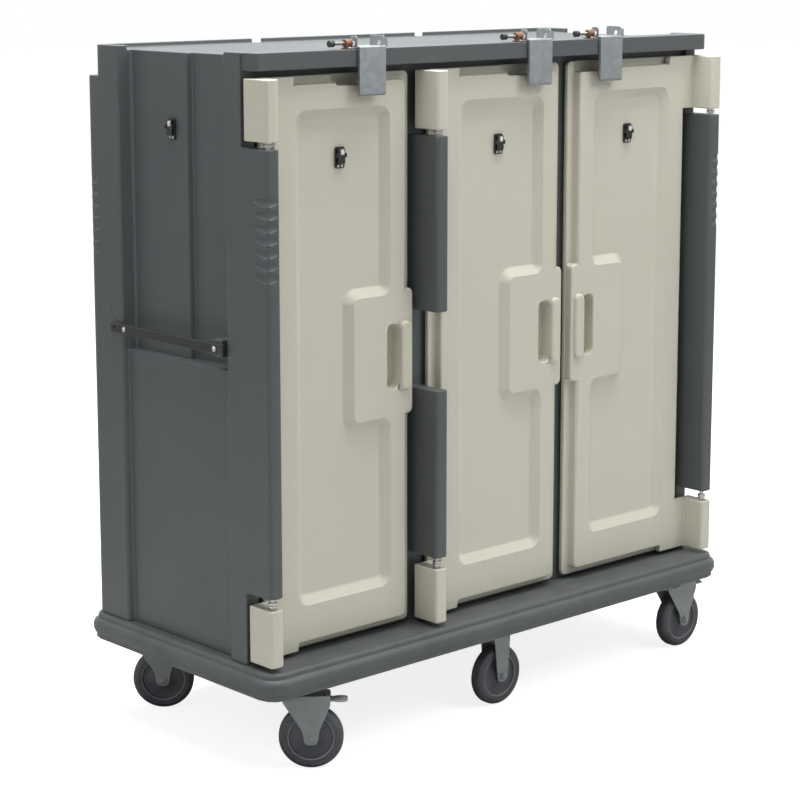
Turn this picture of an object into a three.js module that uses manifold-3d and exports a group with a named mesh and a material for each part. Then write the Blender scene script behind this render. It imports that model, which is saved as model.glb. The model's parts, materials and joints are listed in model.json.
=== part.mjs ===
// Three-door insulated meal delivery cart on six casters.
// Millimetres, +Z up, front of the cart towards -Y, its left end towards -X.
// The pieces are drawn from the front left corner of the cabinet (x to the right,
// y to the back, z from the floor) and the finished cart is then centred.
import * as THREE from 'three';
import { mergeVertices } from 'three/addons/utils/BufferGeometryUtils.js';
import Module from 'manifold-3d';

const wasm = await Module();
wasm.setup();

// ---- driving dimensions ----
const GAP = 0.3;                 // between pieces that touch
const LAP = 1;                   // how far joined solids and cutters run past a face
const DOOR_COUNT = 3;

const CASTER = { x: 108, y: 54, trail: 40, wheelRadius: 76, wheelWidth: 36, aboveWheel: 20.4,
  hubRadius: 15, axleRadius: 6, axleClearance: 0.5, legGap: 5, leg: 4, axleEnd: 7,
  plate: [104, 88, 6], raceRadius: 31, raceHeight: 10, crown: 8, kingpin: 8, facets: 24,
  turned: 42 };
const PEDAL = { behindWheelCentre: 34, belowCrown: 14.4, sidePlay: 3, reach: 52,
  thickness: 4, pin: 4 };

const PLATFORM = { overhang: 24, thickness: 65, cornerRadius: 52 };
const SKIRT = { inset: 7, top: 22, edge: 3 };           // heights above the platform's underside
const BULGE = { bottom: 12, top: 50, edge: 12 };
const TOP_STEP = { inset: 12, bottom: 30, edge: 8 };
const CABINET = { width: 1548, depth: 684, height: 1406, cornerRadius: 22 };
const WALL = { back: 44, roof: 82, floor: 37 };
const FRAME_STEP = 12;           // door frame face behind the floor of the hinge block notches
const POST = { width: 38, cornerRadius: 10 };
const HEADER = { front: 46, height: 40, inset: 5, cornerRadius: 20 };
const CROWN = { height: 74, setBack: 36 };
const ROOF_PAN = { side: 26, front: 112, back: 9, depth: 10, cornerRadius: 14, notch: 17 };
const SIDE = {                   // recesses in each end of the cabinet
  frontPost: 152, rearPost: 128, ledgeHeight: 680, lowDepth: 16, panelDepth: 36,
  channelDepth: 50, channelWidth: 182, lowRamp: 10, frontRamp: 14, rearRamp: 10, stepRamp: 5,
  edge: 6, floorEdge: 4, columnEdge: 3,
};
const BACK_GROOVE = { spacing: 560, halfWidth: 13, depth: 22, edge: 3 };
const SCALLOP = { pitch: 28.5, halfHeight: 13, count: 7, below: 284, bite: 4, overSide: 48,
  overFront: 34, around: 10, down: 6 };

const DOOR = {
  lift: 11, headroom: 56, face: 65, flangeFront: 86, flangeBack: 98, plugBack: 128,
  padFromPost: 36, padFromNext: 40, padBottom: 16, padTop: 19, padRadius: 16, padBevel: 6,
  flangeLap: 24, flangeRadius: 14, openingLap: 1.5, plugClearance: 6, plugRadius: 10, edge: 3,
};
const BLOCK = { depth: 82, behind: 10, lowerHeight: 135, upperHeight: 138, radius: 9, arm: 60,
  lowerGap: 28, upperGap: 16, rearRadius: 5, edge: 3, armBehindFace: 17 };
const FIELD = { hingeMargin: 62, freeMargin: 52, bottom: 89, top: 59, depth: 17, slope: 22,
  radius: 30, innerRadius: 24, stepRadius: 16, edge: 0.5 };
const HANDLE = { reach: 50, inField: 114, above: 519, height: 305, shoulder: 10, overEdge: 22,
  radius: 14, edge: 5 };
const POST_GAP_INSET = 57;       // how far the gap in the middle post stops inside the handle pad
const FINGER = { width: 40, fromEdge: 21, above: 65, height: 158, depth: 30, radius: 16 };
const GRIP = { width: 34, fromEdge: -13, proud: 10, overlap: 5, bevel: 7, radius: 15 };
const GASKET = { lap: 6, width: 13, clearance: 0.6, radius: 10, innerRadius: 6 };

const HINGE_AXIS = 19;           // from the post's outer side and from its front
const PIN = { radius: 6, clearance: 0.4, depth: 44, collarWall: 5, collar: 7, endPlay: 4 };

const LATCH = { width: 80, thickness: 2.5, clearance: 6, hang: 108, back: 92, lift: 3,
  earTop: 26, earRadius: 6, holeRadius: 5.6, footHeight: 26, footInset: 24, lipRadius: 7,
  foldRadius: 3, sideFlange: 7.6, lip: 9, fromFreeEdge: [129, 91, 86] };
const EAR = { left: [48, 72], right: [42, 92] };        // front and back of the two upright ears
const BOLT = { radius: 4, y: 60, height: 13, clearance: 0.5, rearReach: 108, pastBarrel: 4,
  knobRadius: 8, knob: 14, barrel: [-68, -50], barrelRadius: 8.5, footWidth: 24, foot: 2.5,
  cheek: 3, neck: 5 };
const LATCH_POCKET = { before: 46, after: 4, depth: 26, wall: 4 };

const CLIP = { width: 28, height: 50, plate: 4, radius: 5, below: 173, pivotUp: 5, pivotOut: 9.5,
  ear: 3, earOut: 13, earHalf: 5, leverHeight: 36, leverPlate: 2.5, leverRadius: 4, leverUp: 3,
  leverPlay: 0.5, pinRadius: 2 };
const SIDE_CLIP = { behindChannel: 55, below: 187 };

const BAR = { aboveLedge: 40, height: 24, thickness: 10, radius: 5, holeRadius: 3.5, edge: 2,
  holeDepth: 30, overlap: 2, frontScrew: 34, rearScrew: 20, rearEnd: 36 };
const BAR_BOSS = { halfWidth: 17, halfHeight: 20 };

const RAIL = { plate: 8, ledge: 15, ledgeThickness: 5, count: 9, frontGap: 14, backGap: 6,
  end: 12 };

// ---- places worked out from them ----
const PLATFORM_BOTTOM = 2 * CASTER.wheelRadius + CASTER.aboveWheel + CASTER.crown
  + CASTER.raceHeight + CASTER.plate[2] + 2 * GAP;
const PLATFORM_TOP = PLATFORM_BOTTOM + PLATFORM.thickness;
const ROOF = PLATFORM_TOP + CABINET.height;
const FLOOR_Z = PLATFORM_TOP + WALL.floor;
const CEILING_Z = ROOF - WALL.roof;
const COMPARTMENT_BACK = CABINET.depth - WALL.back;
const REAR_POST = CABINET.depth - SIDE.rearPost;
const CHANNEL_BACK = SIDE.frontPost + SIDE.channelWidth;
const LEDGE_Z = PLATFORM_TOP + SIDE.ledgeHeight;

const COLUMN_FRONT = BLOCK.depth + BLOCK.behind;  // floor of the notches for the hinge blocks
const FRAME_FRONT = COLUMN_FRONT + FRAME_STEP;
const THIRD = CABINET.width / DOOR_COUNT;
const PAD_LEFT = POST.width + DOOR.padFromPost;
const PAD_RIGHT = THIRD - DOOR.padFromNext;
const FREE_EDGE = PAD_RIGHT + DOOR.flangeLap;
const OPENING_LEFT = PAD_LEFT + DOOR.openingLap;
const OPENING_RIGHT = PAD_RIGHT - DOOR.openingLap;

const DOOR_BOTTOM = PLATFORM_TOP + DOOR.lift;
const DOOR_TOP = ROOF - DOOR.headroom;
const PAD_BOTTOM = DOOR_BOTTOM + DOOR.padBottom;
const PAD_TOP = DOOR_TOP - DOOR.padTop;
const LOWER_BLOCK_TOP = DOOR_BOTTOM + BLOCK.lowerHeight;
const UPPER_BLOCK_BOTTOM = DOOR_TOP - BLOCK.upperHeight;
const POST_BOTTOM = LOWER_BLOCK_TOP + BLOCK.lowerGap;
const POST_TOP = UPPER_BLOCK_BOTTOM - BLOCK.upperGap;
const HANDLE_BOTTOM = DOOR_BOTTOM + HANDLE.above;
const HANDLE_TOP = HANDLE_BOTTOM + HANDLE.height;
const FINGER_BOTTOM = HANDLE_BOTTOM + FINGER.above;
const FINGER_TOP = FINGER_BOTTOM + FINGER.height;

const BAR_BOTTOM = LEDGE_Z + BAR.aboveLedge;
const BAR_TOP = BAR_BOTTOM + BAR.height;
const BAR_MIDDLE = (BAR_BOTTOM + BAR_TOP) / 2;
const BAR_SCREWS = [SIDE.frontPost + BAR.frontScrew, REAR_POST + BAR.rearScrew];
const BOLT_Z = ROOF + BOLT.height;
const CROWN_BACK = CABINET.depth - CROWN.setBack;
const GROOVES = [-1, 1].map((side) => (CABINET.width + side * BACK_GROOVE.spacing) / 2);

// ---- colours and finishes ----
const FINISH = {
  slate: [0x70797b, 0.62, 0.0], cream: [0xc6c3b2, 0.55, 0.0], steel: [0x8d9294, 0.4, 0.9],
  zinc: [0xb9bcbc, 0.35, 0.9], brass: [0xa8714a, 0.4, 0.9], black: [0x15171a, 0.5, 0.0],
  seal: [0x1c1e1f, 0.85, 0.0], tyre: [0x33383f, 0.75, 0.0], fork: [0x7d8585, 0.45, 0.4],
  rail: [0xb8bab5, 0.6, 0.0],
};

const cart = new THREE.Group();

// ---- helpers ----

// a manifold solid from a closed three.js geometry
function solid(geometry) {
  geometry.deleteAttribute('normal');
  geometry.deleteAttribute('uv');
  const merged = mergeVertices(geometry, 1e-4);
  return new wasm.Manifold(new wasm.Mesh({
    numProp: 3,
    vertProperties: new Float32Array(merged.attributes.position.array),
    triVerts: new Uint32Array(merged.index.array),
  }));
}

function geometryOf(manifold) {
  const mesh = manifold.getMesh();
  const geometry = new THREE.BufferGeometry();
  geometry.setAttribute('position', new THREE.BufferAttribute(mesh.vertProperties, 3));
  geometry.setIndex(new THREE.BufferAttribute(mesh.triVerts, 1));
  geometry.computeVertexNormals();
  return geometry;
}

function join(pieces) {
  return pieces.reduce((whole, piece) => whole.add(piece));
}

function cut(whole, tools) {
  return tools.reduce((rest, tool) => rest.subtract(tool), whole);
}

// adds one named piece to a parent group
function piece(name, manifold, finish, parent = cart) {
  const [color, roughness, metalness] = FINISH[finish];
  const material = new THREE.MeshStandardMaterial({ color, roughness, metalness });
  const mesh = new THREE.Mesh(geometryOf(manifold), material);
  mesh.name = name;
  parent.add(mesh);
}

const ROUND = 0.5523;            // handle length that makes a cubic curve a quarter circle

// a closed outline through [x, y, radius] corners
function outline(corners) {
  const shape = new THREE.Shape();
  corners.forEach(([x, y, radius = 0], index) => {
    const corner = new THREE.Vector2(x, y);
    const before = new THREE.Vector2(...corners.at(index - 1).slice(0, 2));
    const after = new THREE.Vector2(...corners[(index + 1) % corners.length].slice(0, 2));
    const entry = before.sub(corner).normalize().multiplyScalar(radius).add(corner);
    const exit = after.sub(corner).normalize().multiplyScalar(radius).add(corner);
    if (index === 0) shape.moveTo(entry.x, entry.y);
    else shape.lineTo(entry.x, entry.y);
    if (radius > 0) {
      const first = entry.clone().lerp(corner, ROUND);
      const last = exit.clone().lerp(corner, ROUND);
      shape.bezierCurveTo(first.x, first.y, last.x, last.y, exit.x, exit.y);
    }
  });
  shape.closePath();
  return shape;
}

function rectangle(x0, y0, x1, y1, radius = 0) {
  return outline([[x0, y0, radius], [x1, y0, radius], [x1, y1, radius], [x0, y1, radius]]);
}

// how a shape is swept: bevel 0 gives square ends, or else both ends are rounded;
// a slope makes them flat slopes of that width instead
function sweep(shape, length, bevel = 0, steps = 3, slope = 0) {
  const size = slope || bevel;
  return new THREE.ExtrudeGeometry(shape, {
    depth: length - 2 * bevel, curveSegments: steps, bevelEnabled: bevel > 0,
    bevelThickness: bevel, bevelSize: size, bevelOffset: -size, bevelSegments: slope ? 1 : 2,
  }).translate(0, 0, bevel);
}

// plan outline (x, y) standing from z0 to z1
function upright(shape, z0, z1, bevel = 0, steps = 3) {
  return solid(sweep(shape, z1 - z0, bevel, steps).translate(0, 0, z0));
}

// front outline (x, z) reaching from y0 back to y1
function facing(shape, y0, y1, bevel = 0, steps = 3, slope = 0) {
  return solid(sweep(shape, y1 - y0, bevel, steps, slope).rotateX(Math.PI / 2)
    .translate(0, y1, 0));
}

// side outline (y, z) reaching from x0 to x1
function sideways(shape, x0, x1, bevel = 0, steps = 3) {
  return solid(sweep(shape, x1 - x0, bevel, steps).rotateX(Math.PI / 2)
    .rotateZ(Math.PI / 2).translate(x0, 0, 0));
}

function block(x0, y0, z0, x1, y1, z1) {
  return solid(new THREE.BoxGeometry(x1 - x0, y1 - y0, z1 - z0)
    .translate((x0 + x1) / 2, (y0 + y1) / 2, (z0 + z1) / 2));
}

const AXIS_TURN = { x: [0, 0, -Math.PI / 2], y: [0, 0, 0], z: [Math.PI / 2, 0, 0] };

// a rod from start along +axis
function rod(radius, length, axis, [x, y, z], facets = 14) {
  const [turnX, turnY, turnZ] = AXIS_TURN[axis];
  return solid(new THREE.CylinderGeometry(radius, radius, length, facets)
    .translate(0, length / 2, 0).rotateX(turnX).rotateY(turnY).rotateZ(turnZ)
    .translate(x, y, z));
}

// the same solid reflected left to right about x = 0
function reflected(manifold) {
  const geometry = geometryOf(manifold).scale(-1, 1, 1);
  const index = geometry.index.array;
  for (let i = 0; i < index.length; i += 3) {
    [index[i], index[i + 1]] = [index[i + 1], index[i]];
  }
  return solid(geometry);
}

function moved(manifold, x, y = 0, z = 0) {
  return solid(geometryOf(manifold).translate(x, y, z));
}

// ---- layout of the three doors: hinge post side, latch place ----
const POSTS = [
  { post: 0, hand: 1 }, { post: THIRD, hand: 1 }, { post: CABINET.width, hand: -1 },
];
const DOORS = POSTS.map(({ post, hand }, index) => ({
  name: `door_${index + 1}`, post, hand,
  latch: post + hand * (PAD_RIGHT - LATCH.fromFreeEdge[index]),
}));

// x of a place measured from the door's hinge post
function fromPost(door, distance) {
  return door.post + door.hand * distance;
}

// a solid drawn from a left hinge post, put at its door
function atDoor(door, manifold) {
  return moved(door.hand > 0 ? manifold : reflected(manifold), door.post);
}

// left and right ends of a door's compartment
function compartmentEnds(door) {
  const ends = [fromPost(door, OPENING_LEFT), fromPost(door, OPENING_RIGHT)];
  return ends.sort((a, b) => a - b);
}

// ---- cabinet ----

// plan of the cabinet; side is the outline of its left end from front to back
function cabinetPlan(side, back) {
  const right = side.map(([x, y, r]) => [CABINET.width - x, y, r]).reverse();
  const { halfWidth, depth, edge } = BACK_GROOVE;
  const grooves = GROOVES.flatMap((x) => [
    [x - halfWidth, back, edge], [x, back - depth, edge], [x + halfWidth, back, edge],
  ]);
  const front = [
    [CABINET.width - POST.width, FRAME_FRONT, 0], [POST.width, FRAME_FRONT, 0],
  ];
  return outline([...side, [0, back, CABINET.cornerRadius], ...grooves,
    [CABINET.width, back, CABINET.cornerRadius], ...right, ...front]);
}

function lowerSide() {
  const { frontPost, lowDepth, lowRamp, stepRamp, edge, floorEdge, columnEdge } = SIDE;
  return [[POST.width, COLUMN_FRONT, 0], [0, COLUMN_FRONT, columnEdge], [0, frontPost, edge],
    [lowDepth, frontPost + lowRamp, floorEdge], [lowDepth, REAR_POST - stepRamp, floorEdge],
    [0, REAR_POST, edge]];
}

function upperSide() {
  const { frontPost, panelDepth, channelDepth, frontRamp, rearRamp, stepRamp } = SIDE;
  const { edge, floorEdge, columnEdge } = SIDE;
  return [[POST.width, COLUMN_FRONT, 0], [0, COLUMN_FRONT, columnEdge], [0, frontPost, edge],
    [channelDepth, frontPost + frontRamp, floorEdge],
    [channelDepth, CHANNEL_BACK - stepRamp, columnEdge], [panelDepth, CHANNEL_BACK, columnEdge],
    [panelDepth, REAR_POST - rearRamp, edge], [0, REAR_POST, edge]];
}

// hinge post reaching forward from the cabinet, for a stretch of its height
function post(x, z0, z1, back) {
  const r = POST.cornerRadius;
  const plan = outline([[x, 0, r], [x + POST.width, 0, r], [x + POST.width, back], [x, back]]);
  return upright(plan, z0, z1, 0, 4);
}

// shallow finger scoops over both faces of one vertical corner, one above the other
function scallops(x, y) {
  const { halfHeight, bite, overSide, overFront, around, down } = SCALLOP;
  const scoop = (halfX, halfY, z) => solid(new THREE.SphereGeometry(1, around, down)
    .rotateX(Math.PI / 2).scale(halfX, halfY, halfHeight).translate(x, y, z));
  return Array.from({ length: SCALLOP.count }, (_, n) => {
    const z = POST_TOP - SCALLOP.below + n * SCALLOP.pitch;
    return [scoop(bite, overSide, z), scoop(overFront, bite, z)];
  }).flat();
}

function cabinetShell() {
  const { width, depth } = CABINET;
  const wide = width - HEADER.inset;
  const headerBack = SIDE.frontPost - SIDE.edge;
  const crownBottom = ROOF - CROWN.height;
  const middleGap = [HANDLE_BOTTOM + POST_GAP_INSET, HANDLE_TOP - POST_GAP_INSET];
  const body = join([
    upright(cabinetPlan(lowerSide(), depth), PLATFORM_TOP + GAP, LEDGE_Z),
    upright(cabinetPlan(upperSide(), depth), LEDGE_Z, crownBottom),
    upright(cabinetPlan(upperSide(), CROWN_BACK), crownBottom, ROOF),
    post(0, POST_BOTTOM, POST_TOP, FRAME_FRONT),
    post(width - POST.width, POST_BOTTOM, POST_TOP, FRAME_FRONT),
    post(THIRD, POST_BOTTOM, middleGap[0], FRAME_FRONT + LAP),
    post(THIRD, middleGap[1], POST_TOP, FRAME_FRONT + LAP),
    upright(outline([[HEADER.inset, HEADER.front, HEADER.cornerRadius],
      [wide, HEADER.front, HEADER.cornerRadius], [wide, headerBack],
      [HEADER.inset, headerBack]]), ROOF - HEADER.height, ROOF),
    barBoss(0, SIDE.channelDepth + LAP), barBoss(width - SIDE.channelDepth - LAP, width),
  ]);
  return cut(body, [
    ...DOORS.map(compartment), ...DOORS.flatMap(pinBores), ...roofPan(),
    ...scallops(0, 0), ...scallops(width, 0), ...scallops(0, depth), ...scallops(width, depth),
    ...barHoles(0, 1), ...barHoles(width, -1),
  ]);
}

// shallow pan in the roof, with a notch in its back rim at each back groove
function roofPan() {
  const { side, front, back, depth, cornerRadius, notch } = ROOF_PAN;
  const floor = ROOF - depth;
  const pan = upright(rectangle(side, front, CABINET.width - side, CROWN_BACK - back,
    cornerRadius), floor, ROOF + LAP);
  const notches = GROOVES.map((x) => block(x - notch, CROWN_BACK - back - LAP, floor, x + notch,
    CROWN_BACK + LAP, ROOF + LAP));
  return [pan, ...notches];
}

// boss in the side recess that carries the front end of a push bar
function barBoss(x0, x1) {
  return block(x0, BAR_SCREWS[0] - BAR_BOSS.halfWidth, BAR_MIDDLE - BAR_BOSS.halfHeight,
    x1, BAR_SCREWS[0] + BAR_BOSS.halfWidth, BAR_MIDDLE + BAR_BOSS.halfHeight);
}

// blind screw holes under a push bar
function barHoles(x, inwards) {
  const length = BAR.holeDepth;
  const start = inwards > 0 ? x - LAP : x - length + LAP;
  return BAR_SCREWS.map((y) => rod(BAR.holeRadius, length, 'x', [start, y, BAR_MIDDLE], 12));
}

function compartment(door) {
  const [left, right] = compartmentEnds(door);
  return block(left, DOOR.face, FLOOR_Z, right, COMPARTMENT_BACK, CEILING_Z);
}

// bores in the two ends of a hinge post
function pinBores(door) {
  const x = fromPost(door, HINGE_AXIS);
  const r = PIN.radius + PIN.clearance;
  return [POST_BOTTOM - LAP, POST_TOP + LAP - PIN.depth].map((z) => rod(r, PIN.depth, 'z',
    [x, HINGE_AXIS, z]));
}

// ---- wheeled platform ----
function platform() {
  const { overhang, cornerRadius } = PLATFORM;
  const bottom = PLATFORM_BOTTOM;
  const plan = (inset) => rectangle(-overhang + inset, -overhang + inset,
    CABINET.width + overhang - inset, CABINET.depth + overhang - inset, cornerRadius - inset);
  const fine = 5;
  return join([
    upright(plan(SKIRT.inset), bottom, bottom + SKIRT.top, SKIRT.edge),
    upright(plan(0), bottom + BULGE.bottom, bottom + BULGE.top, BULGE.edge, fine),
    upright(plan(TOP_STEP.inset), bottom + TOP_STEP.bottom, PLATFORM_TOP, TOP_STEP.edge, fine),
  ]);
}

// ---- doors, drawn from a hinge post on the left ----
function hingeBlock(z0, z1) {
  const { radius: r, rearRadius, depth } = BLOCK;
  const knuckle = outline([[0, 0, r], [POST.width, 0, r], [POST.width, depth, rearRadius],
    [0, depth, rearRadius]]);
  return join([
    upright(knuckle, z0, z1, BLOCK.edge),
    block(POST.width / 2, DOOR.face, z0, PAD_LEFT + BLOCK.arm, DOOR.face + BLOCK.armBehindFace,
      z1),
  ]);
}

// cutter for the sunk field of the door, which runs round the handle pad
function fieldCutter() {
  const x0 = PAD_LEFT + FIELD.hingeMargin;
  const x1 = PAD_RIGHT - FIELD.freeMargin;
  const step = x1 - HANDLE.inField;
  const { radius: r, innerRadius, stepRadius, depth, edge, slope } = FIELD;
  const bottom = PAD_BOTTOM + FIELD.bottom;
  const top = PAD_TOP - FIELD.top;
  const over = HANDLE_TOP - HANDLE.shoulder;
  const shape = outline([
    [x0, bottom, r], [x1, bottom, r], [x1, HANDLE_BOTTOM, innerRadius],
    [step, HANDLE_BOTTOM, stepRadius], [step, over, stepRadius], [x1, over, innerRadius],
    [x1, top, r], [x0, top, r],
  ]);
  return facing(shape, DOOR.face - depth, DOOR.face + depth, depth - edge, 4, slope);
}

function grip() {
  const x1 = PAD_RIGHT - GRIP.fromEdge;
  const shape = rectangle(x1 - GRIP.width, FINGER_BOTTOM - GRIP.overlap, x1,
    FINGER_TOP + GRIP.overlap, GRIP.radius);
  return facing(shape, DOOR.face - GRIP.proud, DOOR.face + GRIP.proud, GRIP.bevel);
}

function fingerCutter() {
  const x1 = PAD_RIGHT - FINGER.fromEdge;
  const shape = rectangle(x1 - FINGER.width, FINGER_BOTTOM, x1, FINGER_TOP, FINGER.radius);
  return facing(shape, DOOR.face - LAP, DOOR.face + FINGER.depth);
}

// cut in the top edge of the door under its latch plate
function latchPocket(door) {
  const { before, after, depth, wall } = LATCH_POCKET;
  const centre = door.hand * (door.latch - door.post);
  const left = centre - LATCH.width / 2 - (door.hand > 0 ? before : after);
  const right = centre + LATCH.width / 2 + (door.hand > 0 ? after : before);
  return block(left, DOOR.face - LAP, DOOR_TOP - depth, right, DOOR.flangeBack - wall,
    DOOR_TOP + LAP);
}

function doorPanel(door) {
  const flange = rectangle(PAD_LEFT - DOOR.flangeLap, DOOR_BOTTOM, FREE_EDGE, DOOR_TOP,
    DOOR.flangeRadius);
  const pad = rectangle(PAD_LEFT, PAD_BOTTOM, PAD_RIGHT, PAD_TOP, DOOR.padRadius);
  const play = DOOR.plugClearance;
  const plug = rectangle(OPENING_LEFT + play, FLOOR_Z + play, OPENING_RIGHT - play,
    CEILING_Z - play, DOOR.plugRadius);
  const handlePad = rectangle(PAD_RIGHT - HANDLE.reach, HANDLE_BOTTOM,
    PAD_RIGHT + HANDLE.overEdge, HANDLE_TOP, HANDLE.radius);
  const slab = join([
    facing(flange, DOOR.flangeFront, DOOR.flangeBack, DOOR.edge),
    facing(pad, DOOR.face, DOOR.flangeBack - 2 * LAP, DOOR.padBevel),
    facing(plug, DOOR.flangeBack - DOOR.edge - LAP, DOOR.plugBack, DOOR.edge),
    hingeBlock(DOOR_BOTTOM, LOWER_BLOCK_TOP), hingeBlock(UPPER_BLOCK_BOTTOM, DOOR_TOP),
  ]).subtract(fieldCutter());
  const withHandle = slab.add(facing(handlePad, DOOR.face, DOOR.flangeBack - LAP, HANDLE.edge));
  const finished = withHandle.subtract(fingerCutter()).add(grip());
  const r = PIN.radius + PIN.clearance;
  return atDoor(door, cut(finished, [
    latchPocket(door),
    rod(r, PIN.depth, 'z', [HINGE_AXIS, HINGE_AXIS, LOWER_BLOCK_TOP + LAP - PIN.depth]),
    rod(r, PIN.depth, 'z', [HINGE_AXIS, HINGE_AXIS, UPPER_BLOCK_BOTTOM - LAP]),
  ]));
}

function doorGasket(door) {
  const ring = rectangle(PAD_LEFT - DOOR.flangeLap + GASKET.lap, DOOR_BOTTOM + GASKET.lap,
    FREE_EDGE - GASKET.lap, DOOR_TOP - GASKET.lap, GASKET.radius);
  const inside = GASKET.lap + GASKET.width;
  ring.holes.push(rectangle(PAD_LEFT - DOOR.flangeLap + inside, DOOR_BOTTOM + inside,
    FREE_EDGE - inside, DOOR_TOP - inside, GASKET.innerRadius));
  return atDoor(door, facing(ring, DOOR.flangeBack + GAP, FRAME_FRONT - GASKET.clearance));
}

// pin between a hinge block and the post end that it meets
function hingePin(door, low, high) {
  const x = fromPost(door, HINGE_AXIS);
  const reach = PIN.depth - PIN.endPlay;
  const collar = Math.min(PIN.collar, high - low - 2 * GAP);
  const centre = (low + high) / 2;
  return join([
    rod(PIN.radius, high - low + 2 * reach, 'z', [x, HINGE_AXIS, low - reach]),
    rod(PIN.radius + PIN.collarWall, collar, 'z', [x, HINGE_AXIS, centre - collar / 2]),
  ]);
}

function addDoors() {
  for (const door of DOORS) {
    piece(`${door.name}_panel`, doorPanel(door), 'cream');
    piece(`${door.name}_gasket`, doorGasket(door), 'seal');
    piece(`${door.name}_lower_hinge_pin`, hingePin(door, LOWER_BLOCK_TOP, POST_BOTTOM), 'zinc');
    piece(`${door.name}_upper_hinge_pin`, hingePin(door, POST_TOP, UPPER_BLOCK_BOTTOM), 'zinc');
  }
}

// ---- top latches ----

// hooked plate on the door, folded back over the cabinet top, with two upright ears
function latchPlate(door) {
  const { width, thickness: t, back } = LATCH;
  const left = door.latch - width / 2;
  const right = left + width;
  const front = HEADER.front - LATCH.clearance - t;
  const bottom = ROOF - LATCH.hang;
  const over = ROOF + LATCH.lift;
  const hook = outline([
    [front, bottom, LATCH.lipRadius], [front + LATCH.sideFlange + t, bottom],
    [front + LATCH.sideFlange + t, bottom + t], [front + t, bottom + t, LATCH.lipRadius - t],
    [front + t, over], [back, over], [back, over + t], [front, over + t, LATCH.foldRadius],
  ]);
  const flange = rectangle(front + LAP, bottom + t, front + LATCH.sideFlange, over);
  return join([
    sideways(hook, left, right), latchFoot(left, right, front, bottom),
    sideways(flange, left, left + t), sideways(flange, right - t, right),
    latchEar(left, EAR.left), latchEar(right - t, EAR.right),
    block(right - t, EAR.right[0], over, right + LATCH.lip, EAR.right[0] + t,
      over + LATCH.earTop - LATCH.earRadius),
  ]);
}

// tab under the plate that is screwed to the front of the door
function latchFoot(left, right, front, bottom) {
  const { thickness: t, footInset } = LATCH;
  const foot = DOOR.face - GAP;
  const profile = outline([
    [front + t, bottom], [foot, bottom], [foot, bottom + LATCH.footHeight],
    [foot - t, bottom + LATCH.footHeight], [foot - t, bottom + t], [front + t, bottom + t],
  ]);
  return sideways(profile, left + footInset, right - footInset);
}

// upright ear with a hole for the bolt
function latchEar(x, [front, back]) {
  const { thickness: t, earTop, earRadius, holeRadius, lift } = LATCH;
  const over = ROOF + lift;
  const ear = outline([[front, over], [back, over], [back, over + earTop, earRadius],
    [front, over + earTop, earRadius]]);
  return sideways(ear, x, x + t).subtract(rod(holeRadius, 3 * t, 'x',
    [x - t, BOLT.y, BOLT_Z], 16));
}

function latchBarrel(door) {
  const { y, foot, footWidth, cheek, neck, clearance } = BOLT;
  const [start, end] = BOLT.barrel.map((place) => door.latch + place);
  const base = ROOF + GAP;
  return join([
    block(start, y - footWidth / 2, base, end, y + footWidth / 2, base + foot),
    block(start + cheek, y - neck, base, end - cheek, y + neck, BOLT_Z),
    rod(BOLT.barrelRadius, end - start, 'x', [start, y, BOLT_Z]),
  ]).subtract(rod(BOLT.radius + clearance, end - start + 2 * LAP, 'x',
    [start - LAP, y, BOLT_Z]));
}

function latchBolt(door) {
  const tip = door.latch + BOLT.barrel[1] + BOLT.pastBarrel;
  const tail = door.latch - BOLT.rearReach;
  return join([
    rod(BOLT.radius, tip - tail, 'x', [tail, BOLT.y, BOLT_Z]),
    rod(BOLT.knobRadius, BOLT.knob, 'x', [tail - BOLT.knob / 2, BOLT.y, BOLT_Z]),
  ]);
}

function addLatches() {
  for (const door of DOORS) {
    const name = door.name.replace('door', 'latch');
    piece(`${name}_plate`, latchPlate(door), 'steel');
    piece(`${name}_barrel`, latchBarrel(door), 'brass');
    piece(`${name}_bolt`, latchBolt(door), 'zinc');
  }
}

// ---- card clips: drawn at the origin, back face on y = 0, facing -y ----
function clipBase() {
  const half = CLIP.width / 2;
  const plate = facing(rectangle(-half, -CLIP.height / 2, half, CLIP.height / 2, CLIP.radius),
    -CLIP.plate, 0);
  const ears = [-half, half - CLIP.ear].map((x) => block(x, -CLIP.earOut,
    CLIP.pivotUp - CLIP.earHalf, x + CLIP.ear, -CLIP.plate + LAP, CLIP.pivotUp + CLIP.earHalf));
  return join([plate, ...ears]);
}

function clipLever() {
  const half = CLIP.width / 2 - CLIP.ear - CLIP.leverPlay;
  const out = -CLIP.pivotOut;
  const top = CLIP.leverHeight / 2 + CLIP.leverUp;
  return join([
    facing(rectangle(-half, top - CLIP.leverHeight, half, top, CLIP.leverRadius),
      out - CLIP.leverPlate / 2, out + CLIP.leverPlate / 2),
    rod(CLIP.pinRadius, 2 * half, 'x', [-half, out, CLIP.pivotUp], 12),
  ]);
}

function addClip(name, x, y, z, turn) {
  const holder = new THREE.Group();
  holder.position.set(x, y, z);
  holder.rotation.z = turn;
  cart.add(holder);
  piece(`${name}_base`, clipBase(), 'black', holder);
  piece(`${name}_lever`, clipLever(), 'black', holder);
}

function addClips() {
  const middle = (PAD_LEFT + FIELD.hingeMargin + PAD_RIGHT - FIELD.freeMargin) / 2;
  const sunk = DOOR.face + FIELD.depth - GAP;
  DOORS.forEach((door) => addClip(`${door.name}_card_clip`, fromPost(door, middle), sunk,
    PAD_TOP - CLIP.below, 0));
  addClip('side_card_clip', SIDE.panelDepth - GAP, CHANNEL_BACK + SIDE_CLIP.behindChannel,
    ROOF - SIDE_CLIP.below, -Math.PI / 2);
}

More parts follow.
